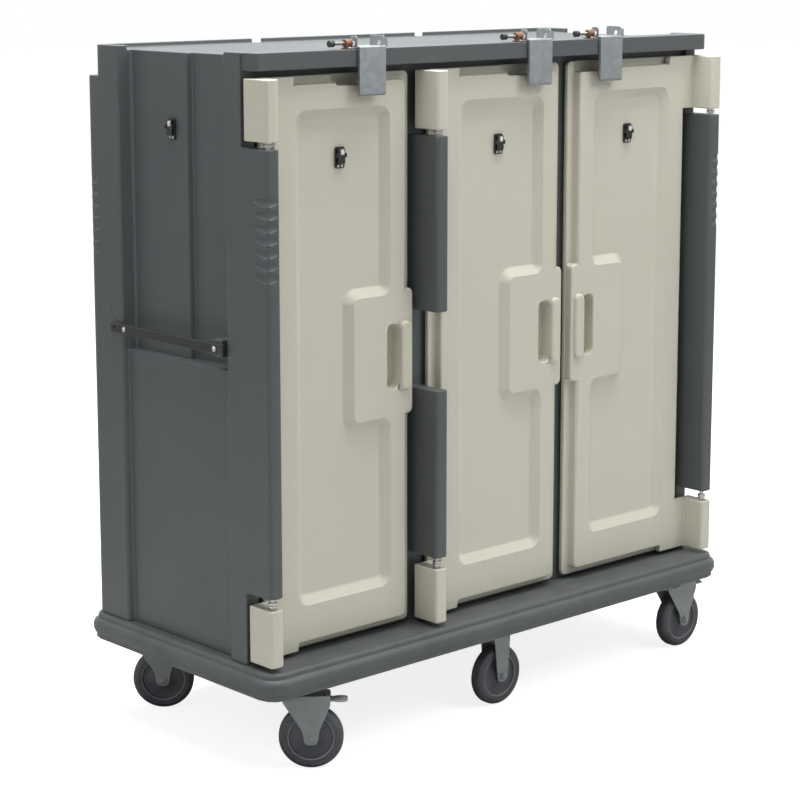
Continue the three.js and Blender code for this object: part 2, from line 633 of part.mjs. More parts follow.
// ---- push bars on the two ends ----
function pushBar(x0) {
  const shape = rectangle(SIDE.frontPost - BAR.overlap, BAR_BOTTOM, REAR_POST + BAR.rearEnd,
    BAR_TOP, BAR.radius);
  const bar = sideways(shape, x0, x0 + BAR.thickness, BAR.edge);
  return cut(bar, BAR_SCREWS.map((y) => rod(BAR.holeRadius, BAR.thickness + 2 * LAP, 'x',
    [x0 - LAP, y, BAR_MIDDLE], 12)));
}

// ---- tray rails: one moulded ladder of ledges on each side of a compartment ----
function trayRail(x, inwards) {
  const low = FLOOR_Z + RAIL.end;
  const high = CEILING_Z - RAIL.end;
  const pitch = (high - low) / RAIL.count;
  const corners = [[0, low], [RAIL.plate, low]];
  for (let n = 0; n < RAIL.count; n += 1) {
    const z = low + (n + 0.5) * pitch;
    corners.push([RAIL.plate, z - RAIL.ledgeThickness], [RAIL.ledge, z - RAIL.ledgeThickness / 2],
      [RAIL.ledge, z + RAIL.ledgeThickness / 2], [RAIL.plate, z + RAIL.ledgeThickness / 2]);
  }
  corners.push([RAIL.plate, high], [0, high]);
  const shape = outline(corners.map(([u, z]) => [x + inwards * (GAP + u), z]));
  return facing(shape, DOOR.plugBack + RAIL.frontGap, COMPARTMENT_BACK - RAIL.backGap);
}

function addTrayRails() {
  for (const door of DOORS) {
    const [left, right] = compartmentEnds(door);
    const name = door.name.replace('door', 'compartment');
    piece(`${name}_left_tray_rail`, trayRail(left, 1), 'rail');
    piece(`${name}_right_tray_rail`, trayRail(right, -1), 'rail');
  }
}

// ---- casters: drawn under their swivel axis, wheel trailing towards +x ----
const PLATE_TOP = PLATFORM_BOTTOM - GAP;
const RACE_BOTTOM = PLATE_TOP - CASTER.plate[2] - CASTER.raceHeight;
const CROWN_TOP = RACE_BOTTOM - GAP;
const FORK_HALF = CASTER.wheelWidth / 2 + CASTER.legGap;
const PEDAL_X = CASTER.trail + PEDAL.behindWheelCentre;
const PEDAL_Z = CROWN_TOP - PEDAL.belowCrown;

function mountingPlate(swivels) {
  const [length, width, thickness] = CASTER.plate;
  const plate = upright(rectangle(-length / 2, -width / 2, length / 2, width / 2, 8),
    PLATE_TOP - thickness, PLATE_TOP);
  const race = rod(CASTER.raceRadius, CASTER.raceHeight + 1, 'z', [0, 0, RACE_BOTTOM], 20);
  const whole = plate.add(race);
  if (!swivels) return whole;
  return whole.subtract(rod(CASTER.kingpin + 0.5, CASTER.raceHeight + 6, 'z',
    [0, 0, RACE_BOTTOM - 1]));
}

// one cheek of the fork in the x-z plane
function cheekOutline(trail, pedal) {
  const axle = CASTER.wheelRadius;
  const low = axle - CASTER.hubRadius;
  const top = CROWN_TOP;
  const rear = pedal ? [[PEDAL_X + 12, PEDAL_Z - 8, 3], [PEDAL_X + 12, top, 5]]
    : [[trail + 26, top, 3]];
  return outline([
    [trail - 15, low, 10], [trail + 15, low, 10], [trail + 20, axle + 20, 6], ...rear,
    [Math.min(-CASTER.raceRadius, trail - 26), top, 5],
    [Math.min(-CASTER.raceRadius, trail - 26) + 4, top - 14, 8], [trail - 20, axle + 20, 8],
  ]);
}

function fork(trail, pedal) {
  const half = FORK_HALF;
  const shape = cheekOutline(trail, pedal);
  const axleHalf = half + CASTER.leg + CASTER.axleEnd;
  const axle = rod(CASTER.axleRadius, 2 * axleHalf, 'y',
    [trail, -axleHalf, CASTER.wheelRadius], 16);
  const bridgeEnd = pedal ? CASTER.raceRadius + 2 : trail + 22;
  const pieces = [
    facing(shape, -half - CASTER.leg, -half), facing(shape, half, half + CASTER.leg), axle,
    block(Math.min(-CASTER.raceRadius, trail - 26) + 5, -half - 1, CROWN_TOP - CASTER.crown,
      bridgeEnd, half + 1, CROWN_TOP),
  ];
  if (pedal) pieces.push(rod(CASTER.kingpin, 14, 'z', [0, 0, CROWN_TOP - 1]));
  return join(pieces);
}

// wheel with rounded tread and dished sides, turned about its axle
function wheel() {
  const { wheelRadius: r, wheelWidth, hubRadius, facets } = CASTER;
  const boreRadius = CASTER.axleRadius + CASTER.axleClearance;
  const half = wheelWidth / 2;
  const hub = FORK_HALF - 1;
  const profile = [
    [boreRadius, -hub], [hubRadius, -hub], [hubRadius + 4, -half + 6], [r - 24, -half + 6],
    [r - 20, -half], [r - 5, -half + 3], [r, -half + 11], [r, half - 11], [r - 5, half - 3],
    [r - 20, half], [r - 24, half - 6], [hubRadius + 4, half - 6], [hubRadius, hub],
    [boreRadius, hub], [boreRadius, -hub],
  ].map(([radius, along]) => new THREE.Vector2(radius, along));
  return solid(new THREE.LatheGeometry(profile, facets));
}

function brakePedal() {
  const half = FORK_HALF - PEDAL.sidePlay;
  const { thickness: t, reach } = PEDAL;
  const x = PEDAL_X;
  const z = PEDAL_Z;
  const tread = upright(outline([[x - 4, -half + 4], [x + 20, -half + 4], [x + 28, -half, 4],
    [x + reach, -half, 10], [x + reach, half, 10], [x + 28, half, 4], [x + 20, half - 4],
    [x - 4, half - 4]]), z - t / 2, z + t / 2);
  const inner = FORK_HALF - 0.5;
  return tread.add(rod(PEDAL.pin, 2 * inner, 'y', [x, -inner, z], 14));
}

function addWheel(name, trail, holder) {
  const hub = new THREE.Group();
  hub.position.set(trail, 0, CASTER.wheelRadius);
  holder.add(hub);
  piece(`${name}_wheel`, wheel(), 'tyre', hub);
}

function addCaster(name, x, y, turn, swivels) {
  const still = new THREE.Group();
  still.position.set(x, y, 0);
  cart.add(still);
  const turning = new THREE.Group();
  turning.rotation.z = turn;
  still.add(turning);
  const trail = swivels ? CASTER.trail : 0;
  if (swivels) {
    piece(`${name}_mounting_plate`, mountingPlate(true), 'fork', still);
    piece(`${name}_fork`, fork(trail, true), 'fork', turning);
    piece(`${name}_brake_pedal`, brakePedal(), 'fork', turning);
  } else {
    const rigid = join([mountingPlate(false), moved(fork(trail, false), 0, 0, GAP)]);
    piece(`${name}_fork`, rigid, 'fork', turning);
  }
  addWheel(name, trail, turning);
}

function addCasters() {
  const right = CABINET.width - CASTER.x;
  const rear = CABINET.depth - CASTER.y;
  const turned = -CASTER.turned * Math.PI / 180;
  addCaster('front_left_caster', CASTER.x, CASTER.y, turned, true);
  addCaster('rear_left_caster', CASTER.x, rear, turned, true);
  addCaster('front_right_caster', right, CASTER.y, 0, true);
  addCaster('rear_right_caster', right, rear, 0, true);
  addCaster('front_middle_caster', CABINET.width / 2, CASTER.y, 0, false);
  addCaster('rear_middle_caster', CABINET.width / 2, rear, 0, false);
}

// ---- assembly ----
piece('cabinet_shell', cabinetShell(), 'slate');
piece('base_platform', platform(), 'slate');
addDoors();
addLatches();
addClips();
piece('left_push_bar', pushBar(-BAR.thickness - GAP), 'black');
piece('right_push_bar', pushBar(CABINET.width + GAP), 'black');
addTrayRails();
addCasters();

// centred on its own footprint, standing on z = 0
const bounds = new THREE.Box3().setFromObject(cart, true);
const centre = bounds.getCenter(new THREE.Vector3());
cart.position.set(-centre.x, -centre.y, -bounds.min.z);
const model = new THREE.Group();
model.name = 'meal_delivery_cart';
model.add(cart);

export default model;
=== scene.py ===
"""Visual model of a tall three-door meal delivery cart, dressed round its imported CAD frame."""
import json
import logging
import math
from dataclasses import dataclass, field
from enum import Enum

import bmesh
import bpy
from mathutils import Matrix, Vector


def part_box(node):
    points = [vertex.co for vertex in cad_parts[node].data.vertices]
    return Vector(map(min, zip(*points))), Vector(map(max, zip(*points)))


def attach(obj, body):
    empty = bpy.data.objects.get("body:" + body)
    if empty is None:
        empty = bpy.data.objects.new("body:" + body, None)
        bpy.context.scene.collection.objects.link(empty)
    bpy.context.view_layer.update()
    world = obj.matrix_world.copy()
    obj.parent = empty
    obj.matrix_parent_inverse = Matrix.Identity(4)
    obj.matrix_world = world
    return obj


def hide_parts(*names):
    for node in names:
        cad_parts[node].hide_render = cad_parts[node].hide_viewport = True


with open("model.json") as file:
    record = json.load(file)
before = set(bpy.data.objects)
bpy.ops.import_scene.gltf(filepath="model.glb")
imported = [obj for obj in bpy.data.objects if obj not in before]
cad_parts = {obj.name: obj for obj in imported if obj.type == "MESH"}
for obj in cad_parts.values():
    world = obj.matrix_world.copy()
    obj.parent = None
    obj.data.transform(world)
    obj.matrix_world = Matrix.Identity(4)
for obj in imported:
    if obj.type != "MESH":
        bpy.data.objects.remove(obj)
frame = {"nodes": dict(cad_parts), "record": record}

LOG = logging.getLogger("cart")
CORNERS = ("front_left", "rear_left", "front_right", "rear_right")
MIDDLES = ("front_middle", "rear_middle")
DOOR_NUMBERS = (1, 2, 3)
UP = Vector((0, 0, 1))
Feed = bpy.types.NodeSocket | float | tuple
Sockets = bpy.types.bpy_prop_collection


class Axis(Enum):
    """Direction that a turned piece lies along."""

    X = Matrix.Rotation(math.radians(90), 4, "Y")
    Y = Matrix.Rotation(math.radians(-90), 4, "X")
    Z = Matrix.Identity(4)


class Grain(Enum):
    """How the fine lines of a finish run, as a stretch of the texture space."""

    NONE = (1.0, 1.0, 1.0)
    ALONG_X = (0.02, 1.0, 1.0)
    ALONG_Z = (1.0, 1.0, 0.02)


# ---------------------------------------------------------------- shader effects


class Tree:
    """Adds nodes to one shader node tree and links them."""

    def __init__(self, tree: bpy.types.NodeTree) -> None:
        """Keeps the tree to build in."""
        self.tree = tree

    def add(self, kind: str, feeds: dict | None = None, **settings) -> bpy.types.Node:
        """Adds a node.

        Args:
            kind: Blender's type name of the node.
            feeds: input name or number, with the socket or the value that feeds it.
            settings: attributes of the node.

        Returns:
            The new node.
        """
        node = self.tree.nodes.new(kind)
        for name, value in settings.items():
            setattr(node, name, value)
        for key, value in (feeds or {}).items():
            if isinstance(value, bpy.types.NodeSocket):
                self.tree.links.new(value, node.inputs[key])
            else:
                node.inputs[key].default_value = value
        return node

    def math(self, operation: str, first: Feed, second: Feed = 0.0,
             clamp: bool = False) -> bpy.types.NodeSocket:
        """Adds a math node.

        Args:
            operation: name of the operation.
            first: socket or number.
            second: socket or number.
            clamp: keeps the result from 0 to 1.

        Returns:
            The result socket.
        """
        node = self.add("ShaderNodeMath", {0: first, 1: second}, operation=operation,
                        use_clamp=clamp)
        return node.outputs[0]

    def mix(self, factor: Feed, first: Feed, second: Feed) -> bpy.types.NodeSocket:
        """Mixes two colours.

        Args:
            factor: share of the second colour.
            first: colour or socket.
            second: colour or socket.

        Returns:
            The mixed colour's socket.
        """
        node = self.add("ShaderNodeMix", {0: factor, 6: first, 7: second}, data_type="RGBA")
        return node.outputs[2]

    def noise(self, vector: Feed, scale: Feed, detail: float = 3.0,
              roughness: float = 0.55) -> bpy.types.NodeSocket:
        """Adds a noise texture and returns its Fac socket."""
        return self.add("ShaderNodeTexNoise", {"Vector": vector, "Scale": scale,
                        "Detail": detail, "Roughness": roughness}).outputs["Fac"]

    def ramp(self, value: Feed, low: float, high: float, to_low: float = 0.0,
             to_high: float = 1.0) -> bpy.types.NodeSocket:
        """Maps a range of a value to another, clamped, and returns the result socket."""
        return self.add("ShaderNodeMapRange", {"Value": value, "From Min": low,
                        "From Max": high, "To Min": to_low, "To Max": to_high}).outputs[0]


class Effect:
    """A shader node group with named sockets, built once and used by several finishes."""

    label = ""
    takes: tuple = ()
    gives: tuple = ()

    def __init__(self) -> None:
        """Makes the group and its sockets, then fills it."""
        self.group = bpy.data.node_groups.new(self.label, "ShaderNodeTree")
        for name, kind, value in self.takes:
            socket = self.group.interface.new_socket(name, in_out="INPUT", socket_type=kind)
            socket.default_value = value
        for name, kind in self.gives:
            self.group.interface.new_socket(name, in_out="OUTPUT", socket_type=kind)
        tree = Tree(self.group)
        source = tree.add("NodeGroupInput").outputs
        place = tree.add("ShaderNodeTexCoord").outputs["Object"]
        results = self.fill(tree, source, place)
        tree.add("NodeGroupOutput", results)

    def fill(self, tree: Tree, source: Sockets, place: Feed) -> dict:
        """Builds the inside of the group.

        Args:
            tree: the group's tree.
            source: the group's input sockets.
            place: the socket with the point on the object, in metres.

        Returns:
            Output name, with the socket that feeds it.
        """
        raise NotImplementedError

    def use(self, tree: Tree, **values) -> bpy.types.Node:
        """Places the group in a material.

        Args:
            tree: the material's tree.
            values: the group's inputs.

        Returns:
            The group node.
        """
        return tree.add("ShaderNodeGroup", values, node_tree=self.group)


class MouldedSkin(Effect):
    """Fine pebbles and the slow ripple of a moulded plastic skin."""

    label = "MouldedSkin"
    takes = (("Pebble", "NodeSocketFloat", 700.0), ("Ripple", "NodeSocketFloat", 30.0),
             ("Share", "NodeSocketFloat", 0.5))
    gives = (("Height", "NodeSocketFloat"),)

    def fill(self, tree: Tree, source: Sockets, place: Feed) -> dict:
        """Mixes a small cell texture with a slow noise.

        Args:
            tree: the group's tree.
            source: the group's input sockets.
            place: point on the object.

        Returns:
            The height's socket.
        """
        cells = tree.add("ShaderNodeTexVoronoi", {"Vector": place, "Scale": source["Pebble"]},
                         feature="SMOOTH_F1").outputs["Distance"]
        fine = tree.noise(place, source["Pebble"], 2.0)
        pebble = tree.math("ADD", tree.math("MULTIPLY", cells, 0.6),
                           tree.math("MULTIPLY", fine, 0.5))
        slow = tree.math("MULTIPLY", tree.noise(place, source["Ripple"], 1.0), 4.0)
        first = tree.math("MULTIPLY", pebble, source["Share"])
        rest = tree.math("MULTIPLY", slow, tree.math("SUBTRACT", 1.0, source["Share"]))
        return {"Height": tree.math("ADD", first, rest)}


class ToneDrift(Effect):
    """Colour that drifts a little over the surface, in clouds and in fine flecks."""

    label = "ToneDrift"
    takes = (("Colour", "NodeSocketColor", (0.5, 0.5, 0.5, 1.0)),
             ("Second", "NodeSocketColor", (0.4, 0.4, 0.4, 1.0)),
             ("Cloud", "NodeSocketFloat", 4.0), ("Fleck", "NodeSocketFloat", 160.0))
    gives = (("Colour", "NodeSocketColor"), ("Cloud", "NodeSocketFloat"))

    def fill(self, tree: Tree, source: Sockets, place: Feed) -> dict:
        """Mixes the two colours by a cloud and a fleck noise.

        Args:
            tree: the group's tree.
            source: the group's input sockets.
            place: point on the object.

        Returns:
            The colour's and the cloud's sockets.
        """
        cloud = tree.noise(place, source["Cloud"], 4.0, 0.6)
        fleck = tree.noise(place, source["Fleck"], 2.0, 0.6)
        both = tree.math("ADD", tree.math("MULTIPLY", cloud, 0.7),
                         tree.math("MULTIPLY", fleck, 0.3))
        share = tree.ramp(both, 0.35, 0.68)
        return {"Colour": tree.mix(share, source["Colour"], source["Second"]), "Cloud": cloud}


class EdgeWear(Effect):
    """Mask of edges that hands, trays and door frames have rubbed."""

    label = "EdgeWear"
    takes = (("Radius", "NodeSocketFloat", 0.003), ("Patch", "NodeSocketFloat", 40.0),
             ("Amount", "NodeSocketFloat", 0.5))
    gives = (("Mask", "NodeSocketFloat"),)

    def fill(self, tree: Tree, source: Sockets, place: Feed) -> dict:
        """Compares the rounded normal with the true one, and breaks the result up.

        Args:
            tree: the group's tree.
            source: the group's input sockets.
            place: point on the object.

        Returns:
            The mask's socket.
        """
        soft = tree.add("ShaderNodeBevel", {"Radius": source["Radius"]}, samples=4)
        true = tree.add("ShaderNodeNewGeometry").outputs["Normal"]
        facing = tree.add("ShaderNodeVectorMath", {0: soft.outputs[0], 1: true},
                          operation="DOT_PRODUCT").outputs["Value"]
        edge = tree.ramp(facing, 0.985, 0.86)
        patch = tree.ramp(tree.noise(place, source["Patch"], 5.0, 0.7), 0.42, 0.66)
        worn = tree.math("MULTIPLY", edge, patch)
        return {"Mask": tree.math("MULTIPLY", worn, source["Amount"], clamp=True)}


class FloorDust(Effect):
    """Mask of dust and splash marks that thin out upwards, and of dust lying on flat tops."""

    label = "FloorDust"
    takes = (("Reach", "NodeSocketFloat", 0.5), ("Amount", "NodeSocketFloat", 0.3))
    gives = (("Mask", "NodeSocketFloat"),)

    def fill(self, tree: Tree, source: Sockets, place: Feed) -> dict:
        """Fades with height, and adds what lies on faces that look up.

        Args:
            tree: the group's tree.
            source: the group's input sockets.
            place: point on the object.

        Returns:
            The mask's socket.
        """
        height = tree.add("ShaderNodeSeparateXYZ", {0: place}).outputs["Z"]
        low = tree.math("SUBTRACT", 1.0, tree.math("DIVIDE", height, source["Reach"]), clamp=True)
        up = tree.add("ShaderNodeSeparateXYZ", {
            0: tree.add("ShaderNodeNewGeometry").outputs["Normal"]}).outputs["Z"]
        top = tree.ramp(up, 0.6, 1.0, 0.0, 0.45)
        patches = tree.ramp(tree.noise(place, 14.0, 6.0, 0.65), 0.38, 0.75)
        mask = tree.math("MULTIPLY", tree.math("ADD", low, top), patches)
        return {"Mask": tree.math("MULTIPLY", mask, source["Amount"], clamp=True)}


class BrushLines(Effect):
    """Fine lines of brushed or rolled metal, stretched along one direction."""

    label = "BrushLines"
    takes = (("Stretch", "NodeSocketVector", (1.0, 1.0, 0.02)),
             ("Fineness", "NodeSocketFloat", 900.0))
    gives = (("Lines", "NodeSocketFloat"), ("Stains", "NodeSocketFloat"))

    def fill(self, tree: Tree, source: Sockets, place: Feed) -> dict:
        """Stretches a noise, and adds round stains left by wiping.

        Args:
            tree: the group's tree.
            source: the group's input sockets.
            place: point on the object.

        Returns:
            The lines' and the stains' sockets.
        """
        stretched = tree.add("ShaderNodeVectorMath", {0: place, 1: source["Stretch"]},
                             operation="MULTIPLY").outputs[0]
        lines = tree.noise(stretched, source["Fineness"], 2.0, 0.6)
        stains = tree.noise(place, 55.0, 3.0, 0.6)
        return {"Lines": lines, "Stains": stains}


@dataclass
class Effects:
    """The shader effects, each built once."""

    skin: MouldedSkin = field(default_factory=MouldedSkin)
    drift: ToneDrift = field(default_factory=ToneDrift)
    wear: EdgeWear = field(default_factory=EdgeWear)
    dust: FloorDust = field(default_factory=FloorDust)
    lines: BrushLines = field(default_factory=BrushLines)


# ---------------------------------------------------------------- finishes


@dataclass(frozen=True)
class Finish:
    """One material of the cart, with the record's slot that it belongs to."""

    name: str
    slot: str
    colour: tuple
    second: tuple
    roughness: float
    metallic: float = 0.0
    spread: float = 0.12
    pebble: float = 700.0
    relief: float = 0.00012
    share: float = 0.5
    cloud: float = 4.0
    worn: tuple = (0.5, 0.5, 0.5)
    wear: float = 0.35
    dusty: float = 0.12
    grain: Grain = Grain.NONE
    coat: float = 0.0
    specular: float = 0.5

    def make(self, effects: Effects) -> bpy.types.Material:
        """Builds the material.

        Args:
            effects: the shared node groups.

        Returns:
            The finished material.
        """
        material = bpy.data.materials.new(self.name)
        material.use_nodes = True
        material.node_tree.nodes.clear()
        tree = Tree(material.node_tree)
        drift = effects.drift.use(tree, Colour=(*self.colour, 1.0), Second=(*self.second, 1.0),
                                  Cloud=self.cloud)
        wear = effects.wear.use(tree, Amount=self.wear).outputs["Mask"]
        dust = effects.dust.use(tree, Amount=self.dusty).outputs["Mask"]
        skin = effects.skin.use(tree, Pebble=self.pebble, Share=self.share)
        colour = tree.mix(wear, drift.outputs["Colour"], (*self.worn, 1.0))
        colour = tree.mix(dust, colour, (0.40, 0.38, 0.34, 1.0))
        height = skin.outputs["Height"]
        rough = tree.ramp(drift.outputs["Cloud"], 0.3, 0.7, self.roughness - self.spread / 2,
                          self.roughness + self.spread / 2)
        rough = tree.math("ADD", rough, tree.math("MULTIPLY", dust, 0.25))
        if self.grain is not Grain.NONE:
            lines = effects.lines.use(tree, Stretch=self.grain.value)
            dark = tuple(0.72 * part for part in self.colour)
            streak = tree.ramp(lines.outputs["Lines"], 0.4, 0.7, 0.0, 0.5)
            colour = tree.mix(streak, colour, (*dark, 1.0))
            stain = tree.ramp(lines.outputs["Stains"], 0.45, 0.7, 0.0, 0.22)
            rough = tree.math("ADD", rough, stain)
            height = tree.math("ADD", height, tree.math("MULTIPLY", lines.outputs["Lines"], 0.5))
        bump = tree.add("ShaderNodeBump", {"Height": height, "Distance": self.relief,
                                           "Strength": 0.8})
        shader = tree.add("ShaderNodeBsdfPrincipled", {
            "Base Color": colour, "Metallic": self.metallic,
            "Roughness": tree.math("ADD", rough, 0.0, clamp=True),
            "Normal": bump.outputs["Normal"], "Coat Weight": self.coat,
            "Coat Roughness": 0.25, "Specular IOR Level": self.specular})
        tree.add("ShaderNodeOutputMaterial", {"Surface": shader.outputs[0]})
        return material


FINISHES = {
    finish.name: finish for finish in (
        Finish("slate_polyethylene", "slate_shell", (0.084, 0.094, 0.097),
               (0.074, 0.083, 0.086), 0.44, worn=(0.16, 0.17, 0.175), wear=0.30, cloud=2.5,
               dusty=0.05),
        Finish("slate_base", "slate_shell", (0.078, 0.087, 0.090), (0.066, 0.074, 0.077), 0.48,
               worn=(0.15, 0.16, 0.165), wear=0.50, dusty=0.12, cloud=5.0),
        Finish("cream_polyethylene", "cream_door", (0.610, 0.597, 0.505),
               (0.575, 0.561, 0.465), 0.42, worn=(0.70, 0.69, 0.60), wear=0.22, cloud=2.0,
               dusty=0.06),
        Finish("compression_seal", "seal_rubber", (0.024, 0.027, 0.029), (0.032, 0.035, 0.037),
               0.72, pebble=900.0, relief=0.0001, worn=(0.06, 0.06, 0.06), wear=0.3),
        Finish("stainless_sheet", "latch_steel", (0.36, 0.385, 0.40), (0.28, 0.30, 0.315), 0.40,
               metallic=0.75, pebble=1200.0, relief=0.00003, worn=(0.7, 0.7, 0.7), wear=0.6,
               dusty=0.06, grain=Grain.ALONG_Z, cloud=26.0),
        Finish("dull_zinc", "zinc_steel", (0.30, 0.29, 0.27), (0.20, 0.195, 0.185), 0.38,
               metallic=0.9, pebble=1500.0, relief=0.00002, worn=(0.6, 0.6, 0.58), wear=0.5,
               dusty=0.08, grain=Grain.ALONG_X, cloud=60.0),
        Finish("zinc_plate", "zinc_steel", (0.60, 0.60, 0.58), (0.46, 0.47, 0.47), 0.28,
               metallic=1.0, pebble=1500.0, relief=0.00002, worn=(0.85, 0.85, 0.84), wear=0.5,
               dusty=0.08, grain=Grain.ALONG_X, cloud=60.0),
        Finish("copper_bush", "latch_brass", (0.26, 0.135, 0.085), (0.18, 0.095, 0.062), 0.40,
               metallic=0.8, pebble=1500.0, relief=0.00002, worn=(0.75, 0.45, 0.28), wear=0.6,
               dusty=0.06, grain=Grain.ALONG_X, cloud=60.0),
        Finish("black_nylon", "black_plastic", (0.010, 0.011, 0.012), (0.018, 0.019, 0.020),
               0.38, pebble=1100.0, relief=0.00006, worn=(0.10, 0.10, 0.10), wear=0.35,
               dusty=0.05, coat=0.15, cloud=20.0),
        Finish("rail_moulding", "rail_plastic", (0.44, 0.45, 0.43), (0.38, 0.39, 0.37), 0.5,
               worn=(0.55, 0.55, 0.53), wear=0.5, cloud=6.0, dusty=0.08),
        Finish("fork_lacquer", "caster_fork", (0.205, 0.225, 0.228), (0.170, 0.187, 0.190), 0.36,
               metallic=0.2, pebble=1000.0, relief=0.00004, worn=(0.52, 0.53, 0.53), wear=0.55,
               dusty=0.20, cloud=24.0, coat=0.2),
        Finish("tread_rubber", "caster_tyre", (0.022, 0.025, 0.032), (0.034, 0.037, 0.045), 0.62,
               pebble=900.0, relief=0.00012, worn=(0.09, 0.095, 0.10), wear=0.4, dusty=0.22,
               cloud=30.0),
        Finish("wheel_side", "caster_tyre", (0.042, 0.047, 0.060), (0.034, 0.038, 0.049), 0.50,
               pebble=1000.0, relief=0.00006, worn=(0.16, 0.17, 0.18), wear=0.35, dusty=0.14,
               cloud=30.0),
        Finish("wheel_disc", "caster_tyre", (0.052, 0.056, 0.066), (0.042, 0.046, 0.055), 0.44,
               pebble=1000.0, relief=0.00006, worn=(0.20, 0.20, 0.21), wear=0.35, dusty=0.12,
               cloud=30.0),
        Finish("rim_line", "caster_tyre", (0.26, 0.275, 0.29), (0.20, 0.212, 0.225), 0.40,
               pebble=1200.0, relief=0.00004, worn=(0.4, 0.4, 0.4), wear=0.4, dusty=0.15,
               cloud=40.0),
        Finish("blue_cap", "caster_fork", (0.16, 0.27, 0.42), (0.12, 0.21, 0.34), 0.38,
               pebble=1200.0, relief=0.00003, worn=(0.35, 0.42, 0.5), wear=0.4, cloud=60.0),
        # Painted highlight: flat white standing in for the light caught on the card clips' levers and
        # screw heads.
        Finish("painted_highlight_white", "black_plastic", (0.74, 0.74, 0.72), (0.66, 0.66, 0.63), 0.4,
               pebble=1200.0, relief=0.00003, worn=(0.8, 0.8, 0.8), wear=0.3, cloud=60.0),
    )
}


class Paintbox:
    """Makes each finish once and hands it out by name."""

    def __init__(self) -> None:
        """Builds the effects; the materials are made on first use."""
        self.effects = Effects()
        self.made: dict = {}

    def get(self, name: str) -> bpy.types.Material:
        """Returns the material of that finish."""
        if name not in self.made:
            self.made[name] = FINISHES[name].make(self.effects)
        return self.made[name]


# ---------------------------------------------------------------- mesh making


